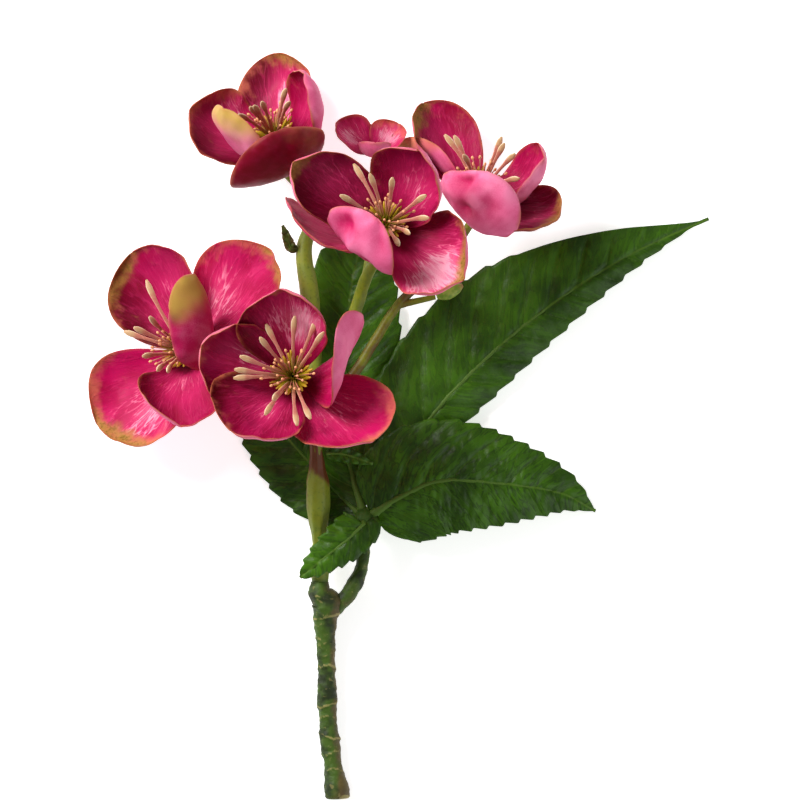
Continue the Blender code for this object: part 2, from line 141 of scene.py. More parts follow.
def spread(values: Sequence[float], share: float) -> float:
    """Reads a list whose entries are evenly spread.

    Args:
        values: The entries.
        share: Where it is read, from 0 at the first entry to 1 at the last.

    Returns:
        The value there.
    """
    place = min(1.0, max(0.0, share)) * (len(values) - 1)
    index = min(int(place), len(values) - 2)
    return values[index] + (values[index + 1] - values[index]) * (place - index)


def swelling(share: float, early: float, late: float) -> float:
    """How wide a blade is along its length.

    Args:
        share: The share of its length, from 0 to 1.
        early: How slowly it widens from its base.
        late: How slowly it narrows to its tip.

    Returns:
        The share of its full width.
    """
    widest = early / (early + late)
    fullest = widest**early * (1 - widest) ** late
    return share**early * (1 - share) ** late / fullest


def nearest(path: Sequence[Vector], point: Vector) -> Vector:
    """The point of a path that lies nearest to another."""
    return min(path, key=lambda place: (place - point).length_squared)


def tree_of(points: Sequence[Vector]) -> kdtree.KDTree:
    """Puts points in a tree.

    Args:
        points: The points.

    Returns:
        A tree that finds the nearest of them.
    """
    tree = kdtree.KDTree(len(points))
    for number, point in enumerate(points):
        tree.insert(point, number)
    tree.balance()
    return tree


def ring_frames(path: Sequence[Vector], radii: Sequence[float], flat: Sequence[float]) -> list[Matrix]:
    """The places of the rings that make a tube.

    Args:
        path: The middle of each ring.
        radii: The rings' radii, evenly spread along the path.
        flat: How flat the rings are, evenly spread along the path; 1 is round.

    Returns:
        The matrix that takes a circle of radius 1 to each ring.
    """
    least_radius = 0.02
    frames = []
    across = None
    for index, point in enumerate(path):
        along = (path[min(index + 1, len(path) - 1)] - path[max(index - 1, 0)]).normalized()
        if across is None:
            across = along.cross(Vector((0, 0, 1)))
            across = across if across.length > 0.1 else Vector((1, 0, 0))
        across = (across - along * across.dot(along)).normalized()
        share = index / (len(path) - 1)
        radius = max(spread(radii, share), least_radius)
        other = along.cross(across)
        columns = (across * radius, other * radius * spread([*flat, flat[-1]], share), along * radius)
        rows = [(*row, place) for row, place in zip(zip(*columns), point)]
        frames.append(Matrix([*rows, (0, 0, 0, 1)]))
    return frames


class Signal:
    """A value or colour inside a material. Python's operators on numbers add Math nodes."""

    def __init__(self, graph: "Graph", socket: bpy.types.NodeSocket) -> None:
        """Wraps the socket that gives the value."""
        self.graph = graph
        self.socket = socket

    def maths(self, operation: str, *others: "Signal | float") -> "Signal":
        """The result of a Math node on this value and others."""
        return self.graph.node("ShaderNodeMath", {"operation": operation}, dict(enumerate((self, *others))))

    def __add__(self, other: "Signal | float") -> "Signal":
        """The sum."""
        return self.maths("ADD", other)

    __radd__ = __add__

    def __sub__(self, other: "Signal | float") -> "Signal":
        """The difference."""
        return self.maths("SUBTRACT", other)

    def __rsub__(self, other: float) -> "Signal":
        """A number less this value."""
        return self.graph.node("ShaderNodeMath", {"operation": "SUBTRACT"}, {0: other, 1: self})

    def __mul__(self, other: "Signal | float") -> "Signal":
        """The product."""
        return self.maths("MULTIPLY", other)

    __rmul__ = __mul__

    def ridge(self) -> "Signal":
        """Thin lines of 1 where a noise crosses its middle, and less away from them."""
        return 1.0 - (self - 0.5).maths("ABSOLUTE") * 2.0

    def step(self, low: float, high: float) -> "Signal":
        """A soft step from 0 at low to 1 at high."""
        settings = {"interpolation_type": "SMOOTHSTEP"}
        return self.graph.node("ShaderNodeMapRange", settings, {0: self, 1: low, 2: high, 3: 0.0, 4: 1.0})


class Graph:
    """The nodes of one material."""

    def __init__(self, name: str, roughness: float = 0.5, shine: float = 0.3) -> None:
        """Makes a material.

        Args:
            name: The material's name.
            roughness: How dull it is where nothing is linked.
            shine: How much it mirrors; 0.5 is usual for plastic.
        """
        self.material = bpy.data.materials.new(name)
        self.material.use_nodes = True
        self.tree = self.material.node_tree
        self.shader = self.tree.nodes["Principled BSDF"]
        self.values: dict[str, Signal] = {}
        self.shader.inputs["Roughness"].default_value = roughness
        self.shader.inputs["Specular IOR Level"].default_value = shine

    def node(self, kind: str, settings: dict, inputs: dict, output: int | str = 0) -> Signal:
        """Adds a node.

        Args:
            kind: The node's type.
            settings: Its properties, which are set first.
            inputs: A value or a signal for each socket, by name or number.
            output: The socket that is read.

        Returns:
            That output.
        """
        made = self.tree.nodes.new(kind)
        for key, value in settings.items():
            setattr(made, key, value)
        for key, value in inputs.items():
            if isinstance(value, Signal):
                self.tree.links.new(value.socket, made.inputs[key])
            else:
                made.inputs[key].default_value = value
        return Signal(self, made.outputs[output])

    def value(self, name: str) -> Signal:
        """A value that the mesh holds at its points."""
        if name not in self.values:
            self.values[name] = self.node("ShaderNodeAttribute", {"attribute_name": name}, {}, "Fac")
        return self.values[name]

    def place(self) -> Signal:
        """The point of the surface, in metres."""
        return self.node("ShaderNodeTexCoord", {}, {}, "Object")

    def vector(self, x: Signal | float, y: Signal | float, z: Signal | float) -> Signal:
        """Three values as one vector."""
        return self.node("ShaderNodeCombineXYZ", {}, {0: x, 1: y, 2: z})

    def noise(self, place: Signal, scale: float, detail: float = 2.0, warp: float = 0.0) -> Signal:
        """Smooth noise from 0 to 1.

        Args:
            place: Where the noise is read.
            scale: How many features there are to a unit.
            detail: How many finer layers are added.
            warp: How far the noise is bent by itself.

        Returns:
            The noise.
        """
        inputs = {"Vector": place, "Scale": scale, "Detail": detail, "Distortion": warp}
        return self.node("ShaderNodeTexNoise", {}, inputs)

    def mix(self, first: Signal | Colour, second: Signal | Colour, share: Signal | float) -> Signal:
        """A colour between two others."""
        settings = {"data_type": "RGBA", "clamp_factor": True}
        return self.node("ShaderNodeMix", settings, {0: share, 6: first, 7: second}, 2)

    def colour(self, signal: Signal) -> None:
        """Sends a colour to the shader."""
        self.tree.links.new(signal.socket, self.shader.inputs["Base Color"])

    def gloss(self, signal: Signal) -> None:
        """Sends a roughness to the shader."""
        self.tree.links.new(signal.socket, self.shader.inputs["Roughness"])

    def relief(self, height: Signal, depth: float, strength: float = 1.0) -> None:
        """Sends a bump to the shader.

        Args:
            height: The height, from 0 to 1.
            depth: What a height of 1 means, in millimetres.
            strength: How strongly it shows.
        """
        inputs = {"Strength": strength, "Distance": depth * MM, "Height": height}
        bump = self.node("ShaderNodeBump", {}, inputs)
        self.tree.links.new(bump.socket, self.shader.inputs["Normal"])


class Sculpt:
    """A mesh in the making, in millimetres, with named values at its points."""

    def __init__(self, name: str, values: Sequence[str] = ()) -> None:
        """Starts an empty mesh.

        Args:
            name: The name of the piece.
            values: The names of the values that its points hold.
        """
        self.name = name
        self.bm = bmesh.new()
        self.layers = {key: self.bm.verts.layers.float.new(key) for key in values}

    def sheet(self, rows: int, columns: int, place: Callable[[float, float], tuple[Vector, dict]]) -> list:
        """Adds a grid and moves each of its points.

        Args:
            rows: The number of cells along it.
            columns: The number of cells across it.
            place: Gives a point and its values from a share along (0 to 1) and across (-1 to 1).

        Returns:
            The grid's vertices.
        """
        made = bmesh.ops.create_grid(self.bm, x_segments=rows, y_segments=columns, size=1.0)
        for vert in made["verts"]:
            along = min(1.0, max(0.0, (vert.co.x + 1) / 2))
            across = min(1.0, max(-1.0, vert.co.y))
            vert.co, values = place(along, across)
            for key, value in values.items():
                vert[self.layers[key]] = value
        return made["verts"]

    def tube(
        self,
        path: Sequence[Vector],
        radii: Sequence[float],
        sides: int,
        flat: Sequence[float] = (1.0,),
        values: dict | None = None,
    ) -> list:
        """Extrudes a circle along a path and closes both ends.

        Args:
            path: The middle of each ring.
            radii: The rings' radii, evenly spread along the path.
            sides: The number of sides.
            flat: How flat the rings are, evenly spread along the path; 1 is round.
            values: Values for all its points.

        Returns:
            The tube's vertices. Where the mesh has the values "along" and "edge", they hold their share of
            the path and how near they are to the ring's widest part.
        """
        frames = ring_frames(path, radii, flat)
        start = {"cap_ends": True, "radius": 1.0, "segments": sides, "matrix": frames[0]}
        ring = bmesh.ops.create_circle(self.bm, **start)["verts"]
        edges = list(dict.fromkeys(edge for vert in ring for edge in vert.link_edges))
        made = list(ring)
        self.mark(ring, {"along": 0.0})
        for index, (before, after) in enumerate(zip(frames, frames[1:])):
            geometry = bmesh.ops.extrude_edge_only(self.bm, edges=edges)["geom"]
            ring = [item for item in geometry if isinstance(item, bmesh.types.BMVert)]
            fresh = set(ring)
            edges = [e for e in geometry if isinstance(e, bmesh.types.BMEdge) and set(e.verts) <= fresh]
            bmesh.ops.transform(self.bm, matrix=after @ before.inverted(), verts=ring)
            self.mark(ring, {"along": (index + 1) / (len(path) - 1)})
            if "edge" in self.layers:
                back = after.inverted()
                for vert in ring:
                    self.mark([vert], {"edge": abs((back @ vert.co).x)})
            made += ring
        bmesh.ops.contextual_create(self.bm, geom=edges)
        self.mark(made, values or {})
        return made

    def mark(self, verts: Sequence, values: dict) -> None:
        """Writes values to vertices.

        Args:
            verts: The vertices.
            values: The values by name; a name that the mesh doesn't hold is passed over.
        """
        for key, value in values.items():
            if key in self.layers:
                for vert in verts:
                    vert[self.layers[key]] = value

    def ball(self, centre: Vector, radius: float, stretch: Vector, sides: int = 8) -> list:
        """Adds a ball that is drawn out along a vector.

        Args:
            centre: Its middle.
            radius: Its radius across.
            stretch: Half its length, with its direction.
            sides: The number of its sides.

        Returns:
            Its vertices.
        """
        turn = stretch.to_track_quat("Z", "Y").to_matrix().to_4x4()
        sizes = Matrix.Diagonal((radius, radius, stretch.length, 1.0))
        matrix = Matrix.Translation(centre) @ turn @ sizes
        shape = {"u_segments": sides, "v_segments": sides, "radius": 1.0, "matrix": matrix}
        return bmesh.ops.create_uvsphere(self.bm, **shape)["verts"]

    def object(
        self, materials: Sequence[bpy.types.Material], outward: bool = True
    ) -> bpy.types.Object:
        """Turns the mesh into a piece of the spray.

        Args:
            materials: Its materials.
            outward: Whether its faces are turned outwards.

        Returns:
            The piece, which rides on the model's one body.
        """
        if outward:
            bmesh.ops.recalc_face_normals(self.bm, faces=self.bm.faces)
        for face in self.bm.faces:
            face.smooth = True
        bmesh.ops.scale(self.bm, vec=(MM, MM, MM), verts=self.bm.verts)
        mesh = bpy.data.meshes.new(self.name)
        self.bm.to_mesh(mesh)
        self.bm.free()
        for material in materials:
            mesh.materials.append(material)
        made = bpy.data.objects.new(self.name, mesh)
        bpy.context.scene.collection.objects.link(made)
        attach(made, "root")
        return made


def thicken(piece: bpy.types.Object, thickness: float, rounds: int) -> None:
    """Gives a sheet two faces and a soft rim, with the second material on the back.

    Args:
        piece: The sheet, whose faces point to its front.
        thickness: Its thickness.
        rounds: How often its faces are divided.
    """
    solid = piece.modifiers.new("thickness", "SOLIDIFY")
    solid.thickness = thickness * MM
    solid.offset = 0.0
    solid.material_offset = 1
    solid.material_offset_rim = 0
    if rounds:
        soft = piece.modifiers.new("soft", "SUBSURF")
        soft.levels = rounds
        soft.render_levels = rounds


class Back(Enum):
    """The colour of a sepal's back: the shares of deep rose and of wine red that it has all over. The wine
    red is partly painted shade, for backs that lie in shadow.
    """

    PINK = (0.0, 0.0)
    ROSE = (0.85, 0.15)
    WINE = (1.0, 1.0)


@dataclass(frozen=True)
class SepalFinish:
    """The satin of a sepal: crimson inside with pink streaks, a salmon rim and an ochre tip."""

    # The deep crimson of the claw, also the colour of the painted shade inside the sepals.
    claw: Colour = tint(84, 0, 12)
    crimson: Colour = tint(138, 0, 40)
    magenta: Colour = tint(186, 4, 84)
    hot: Colour = tint(216, 52, 112)
    # The pale pink of the veins, also the colour of the painted sheen on the lit part of each sepal.
    streak_and_sheen: Colour = tint(238, 158, 180)
    salmon: Colour = tint(214, 112, 92)
    ochre: Colour = tint(164, 122, 56)
    olive: Colour = tint(96, 74, 22)
    rim: Colour = tint(178, 96, 66)
    back: Colour = tint(218, 100, 142)
    # The pale back colour, also the painted highlight on raised folds; the deep one after it is also the
    # painted shade in dents.
    back_pale_and_highlight: Colour = tint(236, 138, 172)
    back_deep_and_shade: Colour = tint(184, 26, 86)
    # A dark wine red, partly the back's own colour and partly painted shade.
    wine: Colour = tint(116, 2, 26)
    back_ochre: Colour = tint(176, 142, 64)

    @staticmethod
    def streaks(
        g: Graph,
        across: float,
        along: float,
        apart: float,
        layer: float = 1.0,
        detail: float = 2.0,
        warp: float = 0.0,
    ) -> Signal:
        """Noise that is drawn out along the veins, which fan out from the claw.

        Args:
            g: The nodes of the material.
            across: How many features there are to a radian of the fan.
            along: How many there are to a millimetre of a vein.
            apart: How far one sepal's pattern lies from the next one's.
            layer: How far it lies from it in depth.
            detail: How many finer layers are added.
            warp: How far the noise is bent by itself.

        Returns:
            The noise, from 0 to 1.
        """
        fan, reach, seed = g.value("fan"), g.value("reach"), g.value("seed")
        place = g.vector(fan * across + seed * apart, reach * along, seed * layer)
        return g.noise(place, scale=1.0, detail=detail, warp=warp)

    @cached_property
    def inside(self) -> bpy.types.Material:
        """Dresses the side that faces the stamens.

        Returns:
            The material.
        """
        g = Graph("sepal_inside", roughness=0.45, shine=0.1)
        place, reach = g.place(), g.value("reach")
        pale, ochre = g.value("pale"), g.value("ochre")
        thin = self.streaks(g, across=20.0, along=0.07, apart=9.0, warp=0.3)
        wide = self.streaks(g, across=8.0, along=0.05, apart=7.0, detail=3.0, warp=0.4)
        wedges = self.streaks(g, across=3.0, along=0.05, apart=5.0, layer=3.0)
        mottle = g.noise(place, scale=260.0, detail=5.0, warp=0.3)
        grain = g.noise(place, scale=2400.0)
        veins = thin.ridge().step(0.88, 1.0) * 0.5 + wide.ridge().step(0.92, 1.0) * 0.8
        veins = veins * reach.step(4.0, 14.0) * mottle.step(0.2, 0.5)
        body = g.mix(self.crimson, self.magenta, wedges.step(0.3, 0.62) * 0.75 + mottle * 0.35)
        # Painted shade: darker towards the claw, partly its own deeper crimson and partly shade where the
        # sepals meet; darker on the side turned away from the light and where the sepal lies in shadow; the
        # wedges add its own uneven tone.
        painted_shade_and_tone = g.value("dark") + (1.0 - reach.step(1.0, 17.0)) * 0.7 + (wedges - 0.5) * 0.5
        body = g.mix(body, self.claw, (painted_shade_and_tone + (mottle - 0.5) * 0.4) * (1.0 - pale * 0.5))
        # Painted sheen: the pale patch lightens part of each sepal, mostly on the side that faces the light,
        # and carries its own pale veins.
        light = pale * (wedges.step(0.25, 0.75) * 0.35 + 0.42) + veins * (pale * 0.5 + 0.08)
        light = light * reach.step(2.0, 14.0) + (grain - 0.5) * 0.22 * (pale + 0.3)
        body = g.mix(g.mix(body, self.hot, light * 1.4), self.streak_and_sheen, light.step(0.35, 1.1))
        breakup = self.streaks(g, across=9.0, along=0.14, apart=4.0, detail=3.0) - 0.5
        breakup = breakup + (mottle - 0.5) * 0.8
        edged = g.mix(body, self.salmon, (g.value("blush") + breakup * 0.8).step(0.15, 0.85) * 0.9)
        tipped = g.mix(edged, self.ochre, (ochre + breakup * 0.7).step(0.1, 0.8))
        specks = g.noise(place, scale=900.0).step(0.52, 0.62) * 0.5
        aged = (ochre + breakup * 1.2).step(0.6, 1.2) + specks * ochre.step(0.1, 0.7)
        tipped = g.mix(tipped, self.olive, aged)
        g.colour(g.mix(tipped, self.rim, g.value("rim") * (0.65 + breakup * 2.0)))
        g.gloss(mottle * 0.3 + 0.3)
        g.relief(veins * 0.5 + thin * 0.3 + grain * 0.15 + mottle * 0.5, depth=0.35, strength=0.6)
        return g.material

    @cached_property
    def outside(self) -> bpy.types.Material:
        """Dresses the back.

        Returns:
            The material.
        """
        g = Graph("sepal_back", roughness=0.5, shine=0.12)
        place, painted_fold_shading = g.place(), g.value("painted_fold_shading")
        lines = self.streaks(g, across=12.0, along=0.05, apart=9.0, detail=3.0, warp=0.3)
        wide = self.streaks(g, across=2.0, along=0.07, apart=5.0, layer=3.0)
        mottle = g.noise(place, scale=260.0, detail=5.0)
        grain = g.noise(place, scale=2000.0)
        cloud = g.noise(place, scale=75.0)
        deep = g.value("deep") * 0.9 + wide.step(0.4, 0.7) * 0.3 + (mottle + lines + grain - 1.5) * 0.5
        # Painted highlight and shade: the back is paler where its waves and dents bulge outward and deeper
        # where they sink, on top of its own random clouding.
        body = g.mix(self.back, self.back_pale_and_highlight, cloud.step(0.45, 0.7) * 0.6 + painted_fold_shading)
        body = g.mix(body, self.back_deep_and_shade, deep + (0.5 - cloud) * 0.9 - painted_fold_shading * 1.3)
        # Wine red, partly the back's own colour and partly painted shade for backs that lie in shadow.
        body = g.mix(body, self.wine, g.value("wine") * (0.7 + mottle * 0.5))
        breakup = self.streaks(g, across=5.0, along=0.1, apart=4.0, detail=3.0) - 0.5
        body = g.mix(body, self.salmon, (g.value("blush") + breakup * 0.8).step(0.3, 1.0) * 0.6)
        body = g.mix(body, self.back_ochre, (g.value("back_ochre") + breakup * 0.4).step(0.1, 0.9))
        g.colour(g.mix(body, self.rim, g.value("rim") * (0.55 + breakup * 2.0)))
        g.relief(lines * 0.2 + grain * 0.2 + mottle * 0.6, depth=0.4, strength=0.6)
        return g.material


@dataclass(frozen=True)
class HeartFinish:
    """The finishes of the stamens, nectaries and carpels."""

    filament: Colour = tint(186, 112, 96)
    filament_edge: Colour = tint(222, 172, 144)
    filament_base: Colour = tint(140, 112, 30)
    head: Colour = tint(190, 150, 108)
    head_edge: Colour = tint(228, 204, 168)
    nectary: Colour = tint(148, 128, 8)
    nectary_tip: Colour = tint(200, 160, 48)
    anther: Colour = tint(236, 172, 122)
    carpel: Colour = tint(62, 72, 8)
    husk: Colour = tint(120, 10, 34)

    @cached_property
    def stamen(self) -> bpy.types.Material:
        """Dresses the long stamens: ribbons from an olive base to a cream head, with paler edges.

        Returns:
            The material.
        """
        g = Graph("stamen", roughness=0.42)
        along, edge = g.value("along"), g.value("edge")
        grain = g.noise(g.place(), scale=900.0)
        rim = edge.step(0.55, 1.0) + (grain - 0.5) * 0.8
        thread = g.mix(self.filament, self.filament_edge, rim)
        thread = g.mix(self.filament_base, thread, along.step(0.05, 0.4))
        g.colour(g.mix(thread, g.mix(self.head, self.head_edge, rim), along.step(0.72, 0.84)))
        g.relief(grain, depth=0.15, strength=0.4)
        return g.material

    @cached_property
    def nectaries(self) -> bpy.types.Material:
        """Dresses the olive ring of nectaries.

        Returns:
            The material.
        """
        g = Graph("nectary", roughness=0.4)
        grain = g.noise(g.place(), scale=700.0)
        g.colour(g.mix(self.nectary, self.nectary_tip, g.value("along").step(0.4, 1.0) * 0.8 + grain * 0.2))
        g.relief(grain, depth=0.15, strength=0.4)
        return g.material

    @cached_property
    def anthers(self) -> bpy.types.Material:
        """Dresses the short filaments and their peach anthers.

        Returns:
            The material.
        """
        g = Graph("anther", roughness=0.45)
        grain = g.noise(g.place(), scale=1500.0)
        thread = g.mix(self.nectary, self.filament, g.value("along").step(0.2, 0.8))
        g.colour(g.mix(thread, self.anther, g.value("head") * (0.8 + grain * 0.3)))
        g.relief(grain, depth=0.2, strength=0.5)
        return g.material

    @cached_property
    def carpels(self) -> bpy.types.Material:
        """Dresses the dark olive carpels and the crimson husk under them.

        Returns:
            The material.
        """
        g = Graph("carpel", roughness=0.45)
        grain = g.noise(g.place(), scale=600.0, detail=3.0)
        g.colour(g.mix(g.mix(self.carpel, self.nectary, grain), self.husk, g.value("husk")))
        g.relief(grain, depth=0.2, strength=0.5)
        return g.material


@dataclass(frozen=True)
class LeafFinish:
    """The leathery green of a leaf, with its veins and fine net."""

    deep: Colour = tint(26, 54, 0)
    green: Colour = tint(66, 112, 6)
    # The colour of the painted shade in the leaf's creases.
    crease_shade: Colour = tint(12, 30, 2)
    vein: Colour = tint(88, 120, 36)
    under: Colour = tint(70, 100, 30)
    olive: Colour = tint(66, 72, 20)
    brown: Colour = tint(84, 52, 24)

    @cached_property
    def bract(self) -> bpy.types.Material:
        """Dresses the upper bract in dull olive that turns brown towards its edges.

        Returns:
            The material.
        """
        g = Graph("bract", roughness=0.5, shine=0.25)
        grain = g.noise(g.place(), scale=500.0, detail=3.0)
        veins = (1.0 - g.value("vein").step(0.0, 0.5)) * 0.4 + g.value("middle").step(0.6, 2.0) * 0.5
        g.colour(g.mix(g.mix(self.olive, self.under, grain.step(0.4, 0.7) * 0.6), self.brown, veins))
        g.relief(grain, depth=0.4, strength=0.5)
        return g.material

    @cached_property
    def top(self) -> bpy.types.Material:
        """Dresses the glossy upper side.

        Returns:
            The material.
        """
        g = Graph("leaf_top", roughness=0.36, shine=0.22)
        along, across, rugged = g.value("along"), g.value("across"), g.value("rugged")
        slant = along - across.maths("ABSOLUTE") * 0.8
        blade = g.vector(along, across, 0.0)
        patches = g.noise(blade, scale=0.06, detail=3.0)
        folds = g.vector(slant * 0.28, across * 0.11, 0.0)
        crumple = g.noise(folds, scale=1.0, detail=3.0, warp=1.2)
        cells = {"Vector": blade, "Scale": 0.4}
        edges = g.node("ShaderNodeTexVoronoi", {"feature": "DISTANCE_TO_EDGE"}, cells, "Distance")
        net = edges.step(0.0, 0.12)
        side = 1.0 - g.value("vein").step(0.0, 0.45)
        middle = 1.0 - g.value("middle").step(0.15, 0.7)
        lamina = g.mix(self.deep, self.green, patches.step(0.3, 0.7) * 0.7 + crumple.step(0.3, 0.7) * 0.3)
        # Painted shade: the creases of the crumple are darkened, the more so the more wrinkled the leaf is.
        lamina = g.mix(lamina, self.crease_shade, crumple.ridge().step(0.9, 1.0) * rugged)
        lamina = g.mix(lamina, self.vein, (1.0 - net) * 0.04)
        g.colour(g.mix(lamina, self.vein, side * 0.35 + middle * 0.55))
        g.gloss(patches * 0.3 + 0.28)
        g.relief(net * 0.05 + crumple * (rugged + 0.1), depth=0.8, strength=0.6)
        return g.material

    @cached_property
    def bottom(self) -> bpy.types.Material:
        """Dresses the dull lower side.

        Returns:
            The material.
        """
        g = Graph("leaf_under", roughness=0.6)
        patches = g.noise(g.vector(g.value("along"), g.value("across"), 0.0), scale=0.2, detail=3.0)
        veins = (1.0 - g.value("vein").step(0.0, 0.6)) * 0.5 + (1.0 - g.value("middle").step(0.3, 1.2)) * 0.5
        lamina = g.mix(self.under, self.green, patches.step(0.35, 0.7) * 0.6)
        g.colour(g.mix(lamina, self.vein, veins))
        g.relief(patches + veins, depth=0.3, strength=0.5)
        return g.material


@dataclass(frozen=True)
class StemFinish:
    """The finishes of the woody stem, the flower stalk and the green bud on it."""

    bark: Colour = tint(62, 88, 18)
    bark_dark: Colour = tint(30, 42, 8)
    brown: Colour = tint(88, 66, 36)
    scar: Colour = tint(158, 146, 88)
    stalk: Colour = tint(112, 120, 18)
    stalk_light: Colour = tint(140, 154, 54)
    flush: Colour = tint(92, 50, 20)
    neck: Colour = tint(56, 82, 16)
    joint: Colour = tint(54, 88, 14)
    bud: Colour = tint(108, 140, 44)
    bud_light: Colour = tint(158, 172, 74)
    bud_tip: Colour = tint(150, 96, 70)

    @cached_property
    def woody(self) -> bpy.types.Material:
        """Dresses the green bark with its tan rings and brown patches, which are heavier on the stem's right
        side as painted shade.

        Returns:
            The material.
        """
        g = Graph("bark", roughness=0.6)
        place = g.place()
        patches = g.noise(place, scale=160.0, detail=4.0)
        fine = g.noise(place, scale=700.0, detail=3.0)
        flecks = g.noise(place, scale=420.0, warp=0.6)
        skin = g.mix(self.bark_dark, self.bark, patches.step(0.35, 0.6))
        # Brown where the brown value is high: painted shade on the stem's right side, and its own browning
        # towards the cut end and on the branch.
        skin = g.mix(skin, self.brown, (g.value("brown") + (patches - 0.5) * 1.4).step(0.35, 0.8) * 0.8)
        skin = g.mix(skin, self.scar, flecks.step(0.62, 0.74) * 0.35)
        skin = g.mix(skin, self.scar, (g.value("ring") + (fine + patches - 1.0) * 1.5).step(0.45, 1.0) * 0.65)
        g.colour(g.mix(skin, self.joint, g.value("joint") * (0.7 + patches * 0.5)))
        g.relief(patches * 0.4 + fine * 0.6, depth=0.6, strength=0.7)
        return g.material

    @cached_property
    def fresh(self) -> bpy.types.Material:
        """Dresses the yellow-green stalk, which is flushed with brown.

        Returns:
            The material.
        """
        g = Graph("stalk", roughness=0.5)
        place = g.place()
        patches = g.noise(place, scale=120.0, detail=3.0)
        fine = g.noise(place, scale=800.0, detail=3.0)
        skin = g.mix(self.stalk, self.stalk_light, (g.value("light") + (patches - 0.5) * 1.6).step(0.1, 0.9))
        skin = g.mix(skin, self.neck, patches.step(0.42, 0.7) * 0.45 + fine.step(0.52, 0.75) * 0.35)
        skin = g.mix(skin, self.neck, g.value("dark"))
        flushed = (g.value("flush") + (patches - 0.5) * 1.2 + fine * 0.2).step(0.45, 1.0)
        g.colour(g.mix(skin, self.flush, flushed))
        g.relief(fine, depth=0.25, strength=0.5)
        return g.material

    @cached_property
    def green_bud(self) -> bpy.types.Material:
        """Dresses the green bud with its brown tip.

        Returns:
            The material.
        """
        g = Graph("green_bud", roughness=0.45)
        grain = g.noise(g.place(), scale=420.0, detail=3.0)
        skin = g.mix(self.bud, self.bud_light, grain.step(0.35, 0.65))
        g.colour(g.mix(skin, self.bud_tip, g.value("along").step(0.75, 1.0) * 0.7))
        g.relief(grain, depth=0.3, strength=0.5)
        return g.material


@dataclass(frozen=True)
class Sepal:
    """One sepal.

    Attributes:
        azimuth: The way it leaves the bloom, anticlockwise from the bloom's right.
        rise: How steeply it leaves the bloom's plane at its claw, and at its tip.
        length: Its length.
        width: Its width.
        cup: How far its right and left halves curl up.
        twist: How far it turns about its own length by its tip.
        bend: How far it swings sideways.
        roll: How far it is turned about its own length from its claw on.
        ochre: How ochre its tip is inside; lean moves that to one side.
        blush: How salmon its rim is.
        pale: How pale its streaks are, partly its own pale veining and partly a painted sheen on the side
            that faces the light; glow is where they are palest, along and across.
        dark: How dark it is inside, partly its own deeper crimson and partly painted shade where it lies in
            shadow; the field after it adds painted shade to the side turned away from the light.
        back: The colour of its back; its wine red is partly painted shade, where the back lies in shadow.
        back_ochre: How ochre the tip of its back is; back_lean moves that to one side.
        lip: How far its edge turns in.
        dents: Dimples, each with its place along and across, its width and its depth.
    """

    azimuth: float
    rise: tuple[float, float]
    length: float
    width: float
    cup: tuple[float, float]
    twist: float = 0.0
    bend: float = 0.0
    roll: float = 0.0
    ochre: float = 0.3
    lean: float = 0.0
    blush: float = 0.4
    pale: float = 0.4
    glow: tuple[float, float] = (0.55, 0.0)
    dark: float = 0.2
    # Painted shade on the side of the sepal turned away from the light.
    painted_shade_and_tone: float = 0.0
    back: Back = Back.PINK
    back_ochre: float = 0.0
    back_lean: float = 0.0
    lip: float = 0.6
    dents: tuple[tuple[float, float, float, float], ...] = ()


@dataclass(frozen=True)
class SepalForm:
    """What all the sepals share: how their width runs, how they cup, wave and fray, and how fine they are."""

    early: float = 0.8
    late: float = 0.5
    claw_share: float = 0.68
    claw_width: float = 0.16
    tip_width: float = 0.05
    crowding: float = 1.6
    thickness: float = 0.42
    rows: int = 30
    columns: int = 22
    roll_share: float = 0.25
    cup_start: float = 0.3
    cup_growth: float = 1.4
    claw_run: float = 5.0
    usual_width: float = 38.0
    waves: tuple[tuple[float, float], ...] = ((0.9, 12.0), (0.45, 6.0), (0.15, 2.5))
    rib: float = 0.1
    ribs: float = 34.0
    pleat: float = 0.5
    pleats: float = 5.0
    ruffles: tuple[tuple[float, float, float], ...] = ((1.1, 7.0, 3.0), (0.6, 3.0, 6.0))
    lip_reach: float = 3.5
    blush_reach: float = 8.0
    rim_reach: float = 1.4
    ochre_reach: float = 2.0

    def half_width(self, u: float) -> float:
        """The share of the full width at a share of the length.

        Args:
            u: The share of the length.

        Returns:
            The share of the width, which stays above the least ones of claw and tip.
        """
        profile = swelling(u, self.early, self.late)
        if u < self.early / (self.early + self.late):
            profile = max(profile, self.claw_width)
        return max(profile, self.tip_width)


@dataclass(frozen=True)
class HeartForm:
    """What the hearts of all the blooms share. Widths run evenly from the foot of each part to its tip."""

    root_rise: float = 1.8
    clearance: float = 1.6
    foot: float = 1.2
    arch: float = 0.3
    sway: float = 3.2
    steps: int = 24
    stamen_widths: tuple[float, ...] = (0.5, 0.6, 0.7, 0.7, 0.66, 0.62, 0.6, 0.68, 0.95, 1.16, 1.08, 0.4)
    stamen_flatness: tuple[float, ...] = (0.7, 0.5, 0.4, 0.4, 0.45)
    nectary_lengths: tuple[float, float] = (7.5, 10.5)
    nectary_lifts: tuple[float, float] = (0.3, 0.75)
    nectary_widths: tuple[float, ...] = (0.35, 0.55, 0.85, 0.8, 0.25)
    short_leans: tuple[float, float] = (15, 58)
    short_lengths: tuple[float, float] = (9.0, 14.0)
    short_widths: tuple[float, ...] = (0.32, 0.26, 0.24)
    anther: float = 0.55
    anther_length: float = 0.8
    carpels: int = 5
    carpel_widths: tuple[float, ...] = (0.7, 0.95, 0.8, 0.35, 0.18)
    husk_shares: tuple[float, ...] = (0, 0.1, 0.3, 0.55, 0.8, 1.0, 1.25)
    husk_widths: tuple[float, ...] = (1.7, 2.9, 3.5, 3.5, 3.0, 2.5, 1.4)


SEPALS = SepalForm()
HEART = HeartForm()
SEPAL_VALUES = (
    "fan", "reach", "seed", "painted_fold_shading", "rim", "pale", "dark", "blush", "ochre", "back_ochre", "deep", "wine",
)


